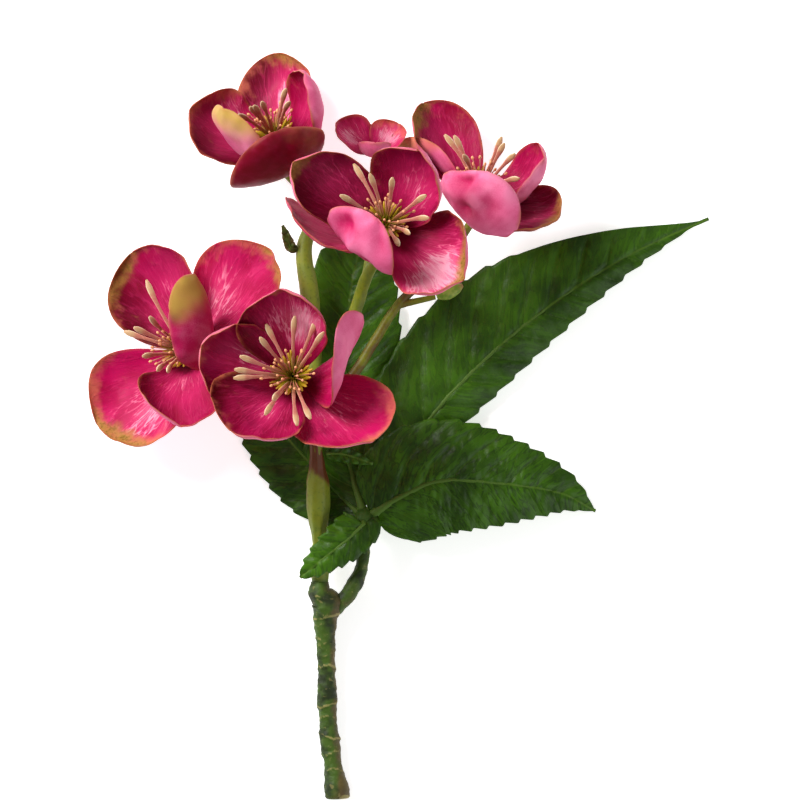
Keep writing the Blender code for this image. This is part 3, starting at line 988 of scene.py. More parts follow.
@dataclass(frozen=True)
class Bloom:
    """A bloom: its place, the way it faces, its sepals and the heads of its long stamens."""

    name: str
    centre: Point
    axis: Point
    sepals: tuple[Sepal, ...]
    stamen_heads: tuple[tuple[float, float], ...] = ()
    receptacle: float = 3.4
    stamen_length: float = 28.0
    nectaries: int = 26
    short_stamens: int = 24

    def facing(self) -> tuple[Vector, Vector, Vector]:
        """The bloom's own directions.

        Returns:
            Its right, its up and the way it faces.
        """
        forward = Vector(self.axis).normalized()
        right = (Vector((1, 0, 0)) - forward * forward.x).normalized()
        return right, forward.cross(right), forward

    def outward(self, azimuth: float) -> Vector:
        """The direction away from the bloom's axis at an angle, in radians, from its right."""
        right, up, _ = self.facing()
        return math.cos(azimuth) * right + math.sin(azimuth) * up

    def blade_point(self, sepal: Sepal, share: float, v: float) -> tuple[Vector, Vector, float, float]:
        """A point of a sepal's middle surface.

        Args:
            sepal: The sepal.
            share: How far along its rows the point is, from 0 to 1.
            v: How far across it is, from -1 to 1.

        Returns:
            The point, the direction towards the bloom's inside, the share of the length, and the distance
            from the sepal's middle line.
        """
        forward = self.facing()[2]
        outward = self.outward(math.radians(sepal.azimuth))
        sideways = forward.cross(outward)
        start = math.radians(sepal.rise[0])
        turn = math.radians(sepal.rise[1] - sepal.rise[0])
        u = 1 - (1 - share) ** SEPALS.crowding
        angle = start + turn * u
        reach = (math.cos(start) - math.cos(angle)) / turn
        height = (math.sin(angle) - math.sin(start)) / turn
        drift = math.radians(sepal.bend) * u * u / 2
        spine = Vector(self.centre) + self.receptacle * SEPALS.claw_share * outward
        spine += sepal.length * (reach * outward + height * forward + drift * sideways)
        normal = forward * math.sin(angle) - outward * math.cos(angle)
        tilt = math.radians(sepal.twist * u + sepal.roll * min(1, u / SEPALS.roll_share))
        across = math.cos(tilt) * sideways + math.sin(tilt) * normal
        inward = math.cos(tilt) * normal - math.sin(tilt) * sideways
        half = sepal.width / 2 * SEPALS.half_width(u)
        curl = math.radians(sepal.cup[v >= 0]) * min(1, SEPALS.cup_start + SEPALS.cup_growth * u)
        bent = curl * v
        out = math.copysign(half * math.sin(abs(bent)) / curl, v)
        rise = half * (1 - math.cos(bent)) / curl
        point = spine + out * across + rise * inward
        return point, inward * math.cos(bent) - across * math.sin(bent), u, half * v

    def petals(self, finish: SepalFinish, replaced: str) -> bpy.types.Object:
        """Makes all the sepals as one piece.

        Args:
            finish: Their finish.
            replaced: The model's node that they stand for.

        Returns:
            The piece.
        """
        sculpt = Sculpt(self.name + "_petals", SEPAL_VALUES)
        for index, sepal in enumerate(self.sepals):
            self.add_sepal(sculpt, sepal, index + len(self.name) * 0.37)
        made = sculpt.object([finish.inside, finish.outside], outward=False)
        thicken(made, SEPALS.thickness, 1)
        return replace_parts(made, replaced)

    def add_sepal(self, sculpt: Sculpt, sepal: Sepal, seed: float) -> None:
        """Adds one sepal with its waves, its lip and the values that colour it.

        Args:
            sculpt: The mesh that it joins.
            sepal: The sepal.
            seed: A number that makes its waves its own.
        """
        size = min(1.0, sepal.width / SEPALS.usual_width)
        places: list[tuple[float, float, Vector]] = []

        def place(share: float, v: float) -> tuple[Vector, dict]:
            """The point and the first values of one vertex."""
            point, inward, u, offset = self.blade_point(sepal, share, v)
            places.append((u, v, inward))
            run = u * sepal.length
            fan = math.atan2(offset, run + SEPALS.claw_run)
            spot = Vector((run, offset, 0))
            wave = sum(depth * rough(spot, length, seed) for depth, length in SEPALS.waves)
            ribs = SEPALS.rib * math.sin(fan * SEPALS.ribs + 2 * rough(spot, 8.0, seed + 1.0))
            ribs += SEPALS.pleat * rough(Vector((fan * SEPALS.pleats, run / 30, 0)), 1.0, seed)
            point += inward * size * (wave + ribs) * eased(u, 0.03, 0.3)
            # Painted shading that follows the waves and dents: the back is drawn lighter where they bulge
            # outward and darker where they sink.
            painted_fold_shading = 0.3 * wave * size
            for at_u, at_v, width, depth in sepal.dents:
                dent = depth * bell(math.hypot(u - at_u, (v - at_v) / 2), width)
                point += inward * dent
                painted_fold_shading += 0.18 * dent
            values = {"fan": fan, "reach": math.hypot(offset, run) / size, "seed": seed, "painted_fold_shading": -painted_fold_shading}
            return point, {**values, "wine": sepal.back.value[1]}

        verts = sculpt.sheet(SEPALS.rows, SEPALS.columns, place)
        border = [vert.co for vert in verts if any(edge.is_boundary for edge in vert.link_edges)]
        tree = tree_of(border)
        distances = [tree.find(vert.co)[2] for vert in verts]
        for vert, distance, (u, v, inward) in zip(verts, distances, places):
            lip = near(distance, SEPALS.lip_reach) ** 2 * eased(u, 0.25, 0.5) * size
            ruffle = sum(depth * rough(vert.co, length, seed + own) for depth, length, own in SEPALS.ruffles)
            vert.co += inward * lip * (sepal.lip + ruffle)
            vert.co.z = above_floor(vert.co.z, SEPALS.thickness)
            sculpt.mark([vert], self.colouring(sepal, distance, u, v))
        middle = len(verts) // 2
        face = verts[middle].link_faces[0]
        face.normal_update()
        if face.normal.dot(places[middle][2]) < 0:
            faces = dict.fromkeys(face for vert in verts for face in vert.link_faces)
            bmesh.ops.reverse_faces(sculpt.bm, faces=list(faces))

    @staticmethod
    def colouring(sepal: Sepal, distance: float, u: float, v: float) -> dict:
        """The values that colour a point of a sepal.

        Args:
            sepal: The sepal.
            distance: How far the point is from the sepal's edge.
            u: The share of the length.
            v: How far across it is, from -1 to 1.

        Returns:
            The values by name.
        """
        patch = bell(u - sepal.glow[0], 0.32) * bell(v - sepal.glow[1], 0.65)
        tip = eased(u + 0.16 * sepal.lean * v, 0.98 - 0.4 * sepal.ochre, 1.0)
        edge = 0.4 * near(distance, SEPALS.ochre_reach) * eased(u, 0.5, 0.9)
        turned = u + sepal.back_lean * v / 2
        return {
            # Painted sheen: the pale patch, partly its own pale veining.
            "pale": sepal.pale * patch,
            # Painted shade: the sepal's darkness, partly its own tone, with more on the side turned away from
            # the light.
            "dark": sepal.dark + max(0.0, sepal.painted_shade_and_tone * v) * eased(u, 0.0, 0.3),
            "rim": near(distance, SEPALS.rim_reach) * eased(u, 0.15, 0.4),
            "blush": sepal.blush * near(distance, SEPALS.blush_reach) * eased(u, 0.3, 0.75),
            "ochre": min(1.0, sepal.ochre * (edge + tip)),
            "back_ochre": sepal.back_ochre * eased(turned, 0.95 - 0.5 * sepal.back_ochre, 1.05),
            "deep": max(sepal.back.value[0], 1 - eased(turned, 0.1, 0.65)),
        }

    def crowd(self) -> kdtree.KDTree:
        """Finds where the sepals are, to keep the stamens clear of them.

        Returns:
            The points of all the sepals.
        """
        rows, columns = 16, 12
        across = [2 * column / columns - 1 for column in range(columns + 1)]
        shares = [(row / rows, v) for row in range(rows + 1) for v in across]
        return tree_of([self.blade_point(sepal, *share)[0] for sepal in self.sepals for share in shares])

    def root(self) -> Vector:
        """Where stamens and nectaries leave the boss."""
        return Vector(self.centre) + self.facing()[2] * (self.receptacle + CLEARANCE + HEART.root_rise)

    def heart(self, finish: HeartFinish, replaced: str) -> list[bpy.types.Object]:
        """Makes the long stamens, the nectaries, the short stamens and the carpels.

        Args:
            finish: Their finishes.
            replaced: The model's node that the long stamens stand for.

        Returns:
            Four pieces.
        """
        chance = random.Random(self.name)
        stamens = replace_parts(self.long_stamens(finish), replaced)
        nectaries = self.nectary_ring(finish, chance)
        return [stamens, nectaries, self.short_ring(finish, chance), self.boss(finish)]

    def long_stamens(self, finish: HeartFinish) -> bpy.types.Object:
        """Makes the long stamens, whose heads are where the spray shows them.

        Args:
            finish: Their finish.

        Returns:
            The piece.
        """
        sculpt = Sculpt(self.name + "_stamens", ("along", "edge"))
        crowd = self.crowd()
        forward = self.facing()[2]
        root = self.root()
        for x, y in self.stamen_heads:
            depth = math.sqrt(max(self.stamen_length**2 - x * x - y * y, 25.0))
            head = Vector(self.centre) + Vector((x, y, depth))
            lean = (head - root) - forward * (head - root).dot(forward)
            start = root + lean.normalized() * HEART.foot
            path = self.arch(start, head, forward)
            while min(crowd.find(point)[2] for point in path[4:]) < HEART.clearance:
                head = head.lerp(root + forward * (head - root).length, 0.1)
                path = self.arch(start, head, forward)
            sculpt.tube(path, HEART.stamen_widths, 12, flat=HEART.stamen_flatness)
        return sculpt.object([finish.stamen])

    @staticmethod
    def arch(start: Vector, head: Vector, forward: Vector) -> list[Vector]:
        """A filament that leaves along the bloom's axis and arches over to its head.

        Args:
            start: Its foot.
            head: Its head.
            forward: The way the bloom faces.

        Returns:
            Its points.
        """
        rise = forward * (head - start).length * HEART.arch
        sway = forward.cross(head - start).normalized() * HEART.sway * rough(head, 3.0)
        shares = [step / (HEART.steps - 1) for step in range(HEART.steps)]
        return [
            start.lerp(head, s) + rise * s * (1 - s) + sway * math.sin(math.pi * s) * s * (1 - s)
            for s in shares
        ]

    def nectary_ring(self, finish: HeartFinish, chance: random.Random) -> bpy.types.Object:
        """Makes the ring of slender nectaries round the carpels.

        Args:
            finish: Their finish.
            chance: Where their small differences come from.

        Returns:
            The piece.
        """
        sculpt = Sculpt(self.name + "_nectaries", ("along",))
        forward = self.facing()[2]
        root = self.root()
        for index in range(self.nectaries):
            outward = self.outward(math.tau * (index + chance.uniform(-0.25, 0.25)) / self.nectaries)
            length = chance.uniform(*HEART.nectary_lengths)
            lift = chance.uniform(*HEART.nectary_lifts)
            places = [
                root + outward * 0.8,
                root + outward * length * 0.45 + forward * length * lift * 0.3,
                root + outward * length * 0.85 + forward * length * lift,
            ]
            sculpt.tube(smooth_path(places, 6), HEART.nectary_widths, 6, flat=(0.7,))
        return sculpt.object([finish.nectaries])

    def short_ring(self, finish: HeartFinish, chance: random.Random) -> bpy.types.Object:
        """Makes the short stamens with their peach anthers.

        Args:
            finish: Their finish.
            chance: Where their small differences come from.

        Returns:
            The piece.
        """
        sculpt = Sculpt(self.name + "_short_stamens", ("along", "head"))
        forward = self.facing()[2]
        root = self.root()
        for index in range(self.short_stamens):
            azimuth = math.tau * (index + chance.random()) / self.short_stamens
            lean = math.radians(chance.uniform(*HEART.short_leans))
            outward = self.outward(azimuth)
            aim = math.cos(lean) * forward + math.sin(lean) * outward
            tip = root + aim * chance.uniform(*HEART.short_lengths)
            places = [root + outward * 0.9, root.lerp(tip, 0.5) + forward * 0.8, tip]
            sculpt.tube(smooth_path(places, 5), HEART.short_widths, 5)
            verts = sculpt.ball(tip, HEART.anther, aim * HEART.anther_length)
            sculpt.mark(verts, {"along": 1.0, "head": 1.0})
        return sculpt.object([finish.anthers])

    def boss(self, finish: HeartFinish) -> bpy.types.Object:
        """Makes the boss with its small carpels, and the husk that carries the sepals.

        Args:
            finish: Their finish.

        Returns:
            The piece.
        """
        sculpt = Sculpt(self.name + "_carpels", ("husk",))
        forward = self.facing()[2]
        centre = Vector(self.centre)
        back = centre - forward * self.receptacle
        body = [back + forward * 2 * self.receptacle * share for share in HEART.husk_shares]
        for vert in sculpt.tube(body, HEART.husk_widths, 16):
            sculpt.mark([vert], {"husk": 1 - eased((vert.co - centre).dot(forward), 2.6, 4.2)})
        for index in range(HEART.carpels):
            outward = self.outward(math.tau * index / HEART.carpels)
            foot = self.root() + outward * 0.9
            places = [foot, foot + forward * 3 + outward * 0.6, foot + forward * 5.5 + outward * 0.2]
            sculpt.tube(smooth_path(places, 5), HEART.carpel_widths, 6)
        return sculpt.object([finish.carpels])


@dataclass(frozen=True)
class LeafForm:
    """What all the leaves share: their teeth, the run of their side veins and their relief."""

    least_half: float = 0.6
    tooth_depth: float = 1.1
    tooth_reach: float = 1.05
    tooth_peak: float = 0.7
    waves: float = 5.0
    wave_phases: tuple[float, float] = (0.5, 2.0)
    vein_slant: float = 0.85
    vein_curve: float = 0.008
    vein_stagger: float = 4.0
    vein_scale: float = 0.72
    vein_groove: float = 0.5
    rib_groove: float = 0.7
    swell: float = 0.45
    thickness: float = 0.6
    rib_size: float = 0.16
    rib_widths: tuple[float, ...] = (2.0, 1.2, 1.0, 0.9, 0.8, 0.7, 0.5, 0.3)


LEAF = LeafForm()
LEAF_VALUES = ("along", "across", "vein", "middle", "rugged")


@dataclass(frozen=True)
class Leaf:
    """A leaf blade.

    Attributes:
        name: Its name, which is also its node's.
        carrier: The middle of what carries it, and how thick that is.
        midrib: The points of its midrib.
        half_widths: How far it reaches to the left and to the right of its midrib.
        fall: How far its left and right edges hang below its midrib.
        teeth: How many teeth each edge has.
        fullness: How slowly it widens from its base and narrows to its tip.
        ripple: How far its edges rise and fall.
        smooth_from: The share of its length from which its left edge has no teeth.
        wrinkle: How wrinkled it is, which also sets how dark the painted shade in the creases of its top is.
        vein_gap: How far its side veins lie apart.
        slot: The name of its finish: leaf gives it the leaf's finish, any other name the bract's.
    """

    name: str
    carrier: tuple[Point, float]
    midrib: tuple[Point, ...]
    half_widths: tuple[float, float]
    fall: tuple[float, float]
    teeth: int
    fullness: tuple[float, float] = (0.45, 0.85)
    ripple: float = 0.8
    smooth_from: float = 2.0
    wrinkle: float = 0.35
    vein_gap: float = 9.0
    slot: str = "leaf"

    def build(self, finish: LeafFinish) -> list[bpy.types.Object]:
        """Makes the blade, which stands for the node of its name, and the rib under it.

        Args:
            finish: Their finish.

        Returns:
            Both pieces.
        """
        rows = 12 * self.teeth if self.teeth else 24
        columns = max(10, 2 * round(sum(self.half_widths) / 2))
        middle, radius = Vector(self.carrier[0]), self.carrier[1]
        base = middle + (Vector(self.midrib[0]) - middle).normalized() * (radius + CLEARANCE)
        path = smooth_path([base, *self.midrib], rows)
        length = sum((b - a).length for a, b in zip(path, path[1:]))

        def place(u: float, v: float) -> tuple[Vector, dict]:
            """The point and values of one vertex."""
            row = round(u * rows)
            along = (path[min(row + 1, rows)] - path[max(row - 1, 0)]).normalized()
            left = Vector((-along.y, along.x, 0)).normalized()
            profile = swelling(u, *self.fullness)
            side = 0 if v > 0 else 1
            offset = max(self.half_widths[side] * profile, LEAF.least_half) * v
            edge = self.tooth(u, v) * min(1.0, 2.5 * profile)
            point = path[row] + left * (offset + math.copysign(edge * LEAF.tooth_depth, v))
            point += along * edge * LEAF.tooth_reach
            wave = self.ripple * math.sin(LEAF.waves * math.tau * u + LEAF.wave_phases[v > 0]) * v * v
            point.z += wave * profile - self.fall[side] * abs(v) ** 1.5 * profile
            inner = eased(1 - abs(v), 0.0, 0.25) * min(1.0, 2 * profile)
            gap, relief = self.relief(u, u * length, offset, inner)
            point.z = above_floor(point.z + relief, LEAF.thickness)
            values = {"along": u * length, "across": offset, "vein": gap, "middle": abs(offset)}
            return point, {**values, "rugged": self.wrinkle}

        sculpt = Sculpt(self.name + "_blade", LEAF_VALUES)
        verts = sculpt.sheet(rows, columns, place)
        faces = list(dict.fromkeys(face for vert in verts for face in vert.link_faces))
        for face in faces:
            face.normal_update()
        if sum(face.normal.z for face in faces) < 0:
            bmesh.ops.reverse_faces(sculpt.bm, faces=faces)
        dull = self.slot != "leaf"
        top, bottom = (finish.bract, finish.bract) if dull else (finish.top, finish.bottom)
        blade = sculpt.object([top, bottom], outward=False)
        thicken(blade, LEAF.thickness, 0)
        return [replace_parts(blade, self.name), self.rib(path, bottom)]

    def tooth(self, u: float, v: float) -> float:
        """How far a point is drawn out by the teeth.

        Args:
            u: The share of the length.
            v: How far across it is, from -1 to 1.

        Returns:
            The share of a tooth's depth: most on the edge, where each tooth rises slowly and drops fast.
        """
        if not self.teeth:
            return 0.0
        phase = (u * (self.teeth + 1)) % 1.0
        peak = LEAF.tooth_peak
        rise = phase / peak if phase < peak else (1 - phase) / (1 - peak)
        fade = 1 - eased(u, self.smooth_from, self.smooth_from + 0.1) * (v > 0)
        return fade * rise * eased(abs(v), 0.7, 1.0)

    def relief(self, u: float, run: float, offset: float, inner: float) -> tuple[float, float]:
        """The relief of the veins, the swells between them and the wrinkles.

        Args:
            u: The share of the length.
            run: The way along the midrib.
            offset: The distance from the midrib.
            inner: How far from the edge the point is, from 0 to 1.

        Returns:
            The distance from the nearest side vein, and how far the point is raised.
        """
        slanted = run - LEAF.vein_slant * abs(offset) - LEAF.vein_curve * offset * offset
        lateral = (slanted + (0 if offset > 0 else LEAF.vein_stagger)) / self.vein_gap
        gap = abs(lateral - round(lateral)) * self.vein_gap * LEAF.vein_scale
        raised = -LEAF.vein_groove * bell(gap, 0.9) * inner
        raised -= LEAF.rib_groove * bell(offset, 1.1) * eased(u, 0.0, 0.1)
        raised += LEAF.swell * math.sin(math.pi * (lateral - math.floor(lateral))) * inner
        own = len(self.name)
        raised += self.wrinkle * rough(Vector((run * 1.6, offset * 0.8, 0)), 3.2, own) * inner
        raised += 0.5 * self.wrinkle * rough(Vector((run, offset, 7)), 9.0, own)
        return gap, raised

    def rib(self, path: Sequence[Vector], material: bpy.types.Material) -> bpy.types.Object:
        """Makes the raised rib that runs from the leaf's carrier along its underside.

        Args:
            path: The midrib's points.
            material: The material of the lower side.

        Returns:
            The piece.
        """
        size = LEAF.rib_size * math.sqrt(sum(self.half_widths))
        sculpt = Sculpt(self.name + "_rib", LEAF_VALUES[:4])
        below = [Vector((p.x, p.y, max(p.z - 0.6 * size, 0.9 * size))) for p in path[: 3 * len(path) // 4]]
        verts = sculpt.tube(below, [width * size for width in LEAF.rib_widths], 10)
        sculpt.mark(verts, {"vein": 1.0})
        return sculpt.object([material])


@dataclass(frozen=True)
class WoodyStem:
    """The main stem with its flared cut end, leaf-scar rings and side branch.

    Attributes:
        places: Points of its middle, from the cut end up.
        heights: Their heights.
        radii: Its thickness at each of them.
        neck_overlap: How far it reaches into the flower stalk.
        branch: Points of the side branch's middle.
        branch_radii: Its radii, evenly spread.
        joint_skin: How far the joint at its end stands out over the model's own.
        rings: The place and the size of each ring.
    """

    places: tuple[tuple[float, float], ...] = (
        (-23, -142.2), (-23.2, -139), (-24.5, -130), (-26, -119), (-26.5, -112), (-27, -104),
        (-27, -92.5), (-27.5, -82), (-27.5, -74), (-27, -68), (-29.5, -64), (-29.5, -61),
    )
    heights: tuple[float, ...] = (4.64, 4.64, 4.64, 4.6, 4.8, 5.4, 5.8, 6.6, 7.6, 8.8, 9.9, 10.0)
    radii: tuple[float, ...] = (4.8, 4.8, 3.3, 3.7, 3.2, 3.8, 3.3, 3.5, 4.4, 5.8, 4.3, 3.2)
    neck_overlap: float = 1.2
    branch: tuple[Point, ...] = (
        (-24, -70, 8.5), (-18.5, -64, 9), (-14, -55, 10), (-13, -46, 11), (-12.5, -35.5, 12),
    )
    branch_radii: tuple[float, ...] = (3.0, 3.0, 3.0, 2.5, 2.4, 2.4, 2.8)
    joint_skin: float = 0.9
    rings: tuple[tuple[float, float], ...] = (
        (-132, 0.35), (-124, 0.3), (-118, 0.55), (-112, 0.3), (-106, 0.6), (-99, 0.3),
        (-92.7, 0.55), (-87, 0.25), (-82, 0.3), (-77, 0.25), (-72.5, 0.5), (-65, 0.4),
    )

    def build(self, finish: StemFinish) -> bpy.types.Object:
        """Makes the stem, its branch and the joint that carries the leaves.

        Args:
            finish: Its finish.

        Returns:
            The piece, which stands for the woody stem's node.
        """
        sculpt = Sculpt("woody_stem_bark", ("ring", "brown", "joint"))
        ends = [Vector((x, y, z)) for (x, y), z in zip(self.places, self.heights)]
        ends[-1].y += self.neck_overlap
        path = smooth_path(ends, 200)
        for vert in sculpt.tube(path, self.fine_radii(ends, path), 36):
            self.roughen(sculpt, vert, path)
        branch = smooth_path(self.branch, 60)
        twig = sculpt.tube(branch, self.branch_radii, 24)
        size = LEAF_JOINT_RADIUS + self.joint_skin
        knob = sculpt.ball(Vector(LEAF_JOINT), size, Vector((0, 0, size)), sides=24)
        for vert in [*twig, *knob]:
            lump = 0.35 * rough(vert.co, 3.0) + 0.2 * rough(vert.co, 1.2, 4.0)
            vert.co += (vert.co - nearest(branch, vert.co)).normalized() * lump
            bands = bell(math.sin(vert.co.y * 0.55 + 0.8 * rough(vert.co, 6.0)), 0.16)
            top = eased(vert.co.y, -44, -38)
            sculpt.mark([vert], {"ring": 0.6 * bands * (1 - top), "brown": 0.35, "joint": top})
        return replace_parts(sculpt.object([finish.woody]), "woody_stem")

    def fine_radii(self, ends: Sequence[Vector], path: Sequence[Vector]) -> list[float]:
        """Finds radii between the stem's own, with the edge of the cut end worn round.

        Args:
            ends: The stem's own points.
            path: Finer points between them.

        Returns:
            A radius for each finer point.
        """
        radii = []
        for point in path:
            index = 0
            while index < len(ends) - 2 and ends[index + 1].y < point.y:
                index += 1
            share = eased(point.y, ends[index].y, ends[index + 1].y)
            radii.append(self.radii[index] + (self.radii[index + 1] - self.radii[index]) * share)
        radii[0] *= 0.82
        radii[1] *= 0.93
        return radii

    def roughen(self, sculpt: Sculpt, vert: bmesh.types.BMVert, path: Sequence[Vector]) -> None:
        """Raises the rings and roughens the bark at one vertex.

        Args:
            sculpt: The mesh.
            vert: The vertex.
            path: The stem's middle.
        """
        middle = nearest(path, vert.co)
        away = (vert.co - middle).normalized()
        turn = math.atan2(away.z, away.x)
        swell = 0.0
        ring = 0.0
        for number, (place, size) in enumerate(self.rings):
            slant = 1.3 * math.sin(turn + number * 2.1) + 0.8 * rough(Vector((turn * 2, number, 0)), 1.0)
            distance = vert.co.y - place - slant
            swell += size * bell(distance, 0.9)
            ring = max(ring, min(1.0, 1.6 * size + 0.15) * bell(distance, 0.6))
        lump = 0.3 * rough(vert.co, 4.5) + 0.25 * rough(vert.co, 1.6, 2.0) + 0.12 * rough(vert.co, 0.8, 5.0)
        vert.co += away * (swell * (0.7 + 0.6 * rough(vert.co, 2.2, 3.0)) + lump)
        vert.co.z = max(vert.co.z, 0.0)
        # Painted shade: the bark browns on the stem's right side, away from the light; it also browns towards
        # the cut end.
        brown = eased(vert.co.x - middle.x, -1.0, 4.0) * 0.7 + 0.5 * eased(-vert.co.y, 130, 141)
        cut = 1.3 * eased(-vert.co.y, 139.5, 141.5) * eased(away.x, -0.3, 0.6)
        sculpt.mark([vert], {"ring": max(ring, cut), "brown": brown})


@dataclass(frozen=True)
class FlowerStalk:
    """The pale stalk with its collar and sheath, and a pedicel to each bloom and bud."""

    hub: Point = (-31, 2, 22)
    main: tuple[Point, ...] = ((-29.5, -60.55, 10), (-29.5, -50, 10.5), (-30, -34, 12.5), (-30.5, -20, 15.5))
    main_radii: tuple[float, ...] = (2.9, 3.7, 3.8, 2.2, 2.6, 2.4, 2.2, 2.0, 2.0, 2.1, 2.2, 2.2)
    middle_fork: Point = (-12, 55, 30)
    right_fork: Point = (0, 45, 18)
    sheath_path: tuple[Point, ...] = (
        (-29.8, -46, 11), (-30, -34, 12.5), (-30.5, -20, 15.5), (-30.8, -11, 18), (-31, -7, 19.5),
    )
    sheath_radii: tuple[float, ...] = (2.3, 2.9, 3.8, 4.4, 4.5, 4.2, 3.0, 2.3, 2.1)
    pedicel_run: float = 8.0

    def behind(self, bloom: Bloom) -> tuple[Vector, Vector]:
        """Finds where a pedicel meets a bloom.

        Args:
            bloom: The bloom.

        Returns:
            A point some way behind it, and the pedicel's end just behind it.
        """
        forward = bloom.facing()[2]
        end = Vector(bloom.centre) - forward * (bloom.receptacle + CLEARANCE)
        return end - forward * self.pedicel_run, end

    def length(self, sculpt: Sculpt, points: Sequence, radii: Sequence[float], **values: float) -> list:
        """Adds one round, slightly uneven length.

        Args:
            sculpt: The mesh that it joins.
            points: The points that it goes through.
            radii: Its radii, evenly spread.
            **values: Values for all its points.

        Returns:
            Its vertices.
        """
        verts = sculpt.tube(smooth_path(points, 14 * (len(points) - 1)), radii, 18)
        sculpt.mark(verts, values)
        for vert in verts:
            level = Vector((1, 0, 1))
            vert.co += 0.22 * rough(vert.co, 5.0) * level + 0.1 * rough(vert.co, 1.5) * Vector((0, 0, 1))
        return verts

    def build(self, blooms: Sequence[Bloom], bud: Bloom, finish: StemFinish) -> bpy.types.Object:
        """Makes the stalk with all its branches.

        Args:
            blooms: The five blooms.
            bud: The half-open bud.
            finish: Its finish.

        Returns:
            The piece, which stands for the flower stalk's node.
        """
        left, front, top, middle, right = (self.behind(bloom) for bloom in blooms)
        hub = self.hub
        sculpt = Sculpt("flower_stalk_skin", ("light", "dark", "flush"))
        for vert in self.length(sculpt, [*self.main, hub], self.main_radii):
            y = vert.co.y
            sculpt.mark([vert], {"dark": 1 - eased(y, -60, -58.5), "light": 1.0 - eased(y, -48, -40)})
        self.length(sculpt, [hub, (-45, 8, 20), *left], (2.2, 1.8, 1.6), light=0.4)
        self.length(sculpt, [hub, *front], (2.2, 1.6), light=0.4)
        upper = [hub, (-33, 45, 17), (-35.5, 66, 16), (-31, 82, 14.5), *top]
        self.length(sculpt, upper, (2.4, 3.4, 3.6, 2.2, 1.8), light=0.5)
        self.length(sculpt, [hub, (-17, 40, 24), self.middle_fork, *middle], (2.2, 2.4, 1.8), flush=0.25)
        outer = [hub, (-16, 20, 20), self.right_fork, (16, 60, 14), *right]
        self.length(sculpt, outer, (2.2, 1.8, 1.6), flush=0.6)
        self.length(sculpt, [self.right_fork, (7, 46.5, 17.5), (14.2, 48.1, 17)], (1.6, 1.2, 1.0), flush=0.6)
        self.length(sculpt, [self.middle_fork, (-9, 75, 24), *self.behind(bud)], (1.8, 1.4, 1.2), flush=0.3)
        self.sheath(sculpt)
        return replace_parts(sculpt.object([finish.fresh]), "flower_stalk")

    def sheath(self, sculpt: Sculpt) -> None:
        """Adds the ridged sheath that wraps the stalk and ends in a brown mouth.

        Args:
            sculpt: The mesh that it joins.
        """
        path = smooth_path(self.sheath_path, 40)
        for vert in sculpt.tube(path, self.sheath_radii, 28):
            away = vert.co - nearest(path, vert.co)
            ridge = 0.2 * math.sin(7 * math.atan2(away.z, away.x) + vert.co.y * 0.2)
            vert.co += away.normalized() * (ridge + 0.25 * rough(vert.co, 6.0))
            mouth = eased(vert.co.y + 0.8 * away.x, -24, -14)
            edge = eased(-away.x, 2.0, 4.5) * 0.5
            sculpt.mark([vert], {"flush": 1.1 * mouth + edge + 0.1, "light": 0.4})


@dataclass(frozen=True)
class GreenBud:
    """The small green bud on its twig."""

    path: tuple[Point, ...] = ((14.6, 48.2, 17), (18, 49.5, 17), (21.5, 51, 17), (24.5, 52.5, 17))
    radii: tuple[float, ...] = (1.0, 2.3, 2.8, 2.6, 1.9, 0.5)
    ridge: float = 0.18
    ridges: int = 3

    def build(self, finish: StemFinish) -> bpy.types.Object:
        """Makes the bud.

        Args:
            finish: Its finish.

        Returns:
            The piece, which stands for the bud's node.
        """
        sculpt = Sculpt("green_bud_skin", ("along",))
        path = smooth_path(self.path, 24)
        for vert in sculpt.tube(path, self.radii, 24):
            away = vert.co - nearest(path, vert.co)
            if away.length > 0.2:
                vert.co += away.normalized() * self.ridge * math.sin(self.ridges * math.atan2(away.z, away.y))
        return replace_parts(sculpt.object([finish.green_bud]), "green_bud")


@dataclass(frozen=True)
class Softbox:
    """A square light that faces the spray: its place and its sides in metres, and its power in watts."""

    name: str
    place: Point
    size: float
    power: float

    def build(self) -> None:
        """Hangs the light."""
        lamp = bpy.data.lights.new(self.name, "AREA")
        lamp.shape = "SQUARE"
        lamp.size = self.size
        lamp.energy = self.power
        made = bpy.data.objects.new(self.name, lamp)
        made.location = self.place
        made.rotation_euler = Vector(self.place).to_track_quat("Z", "Y").to_euler()
        bpy.context.scene.collection.objects.link(made)


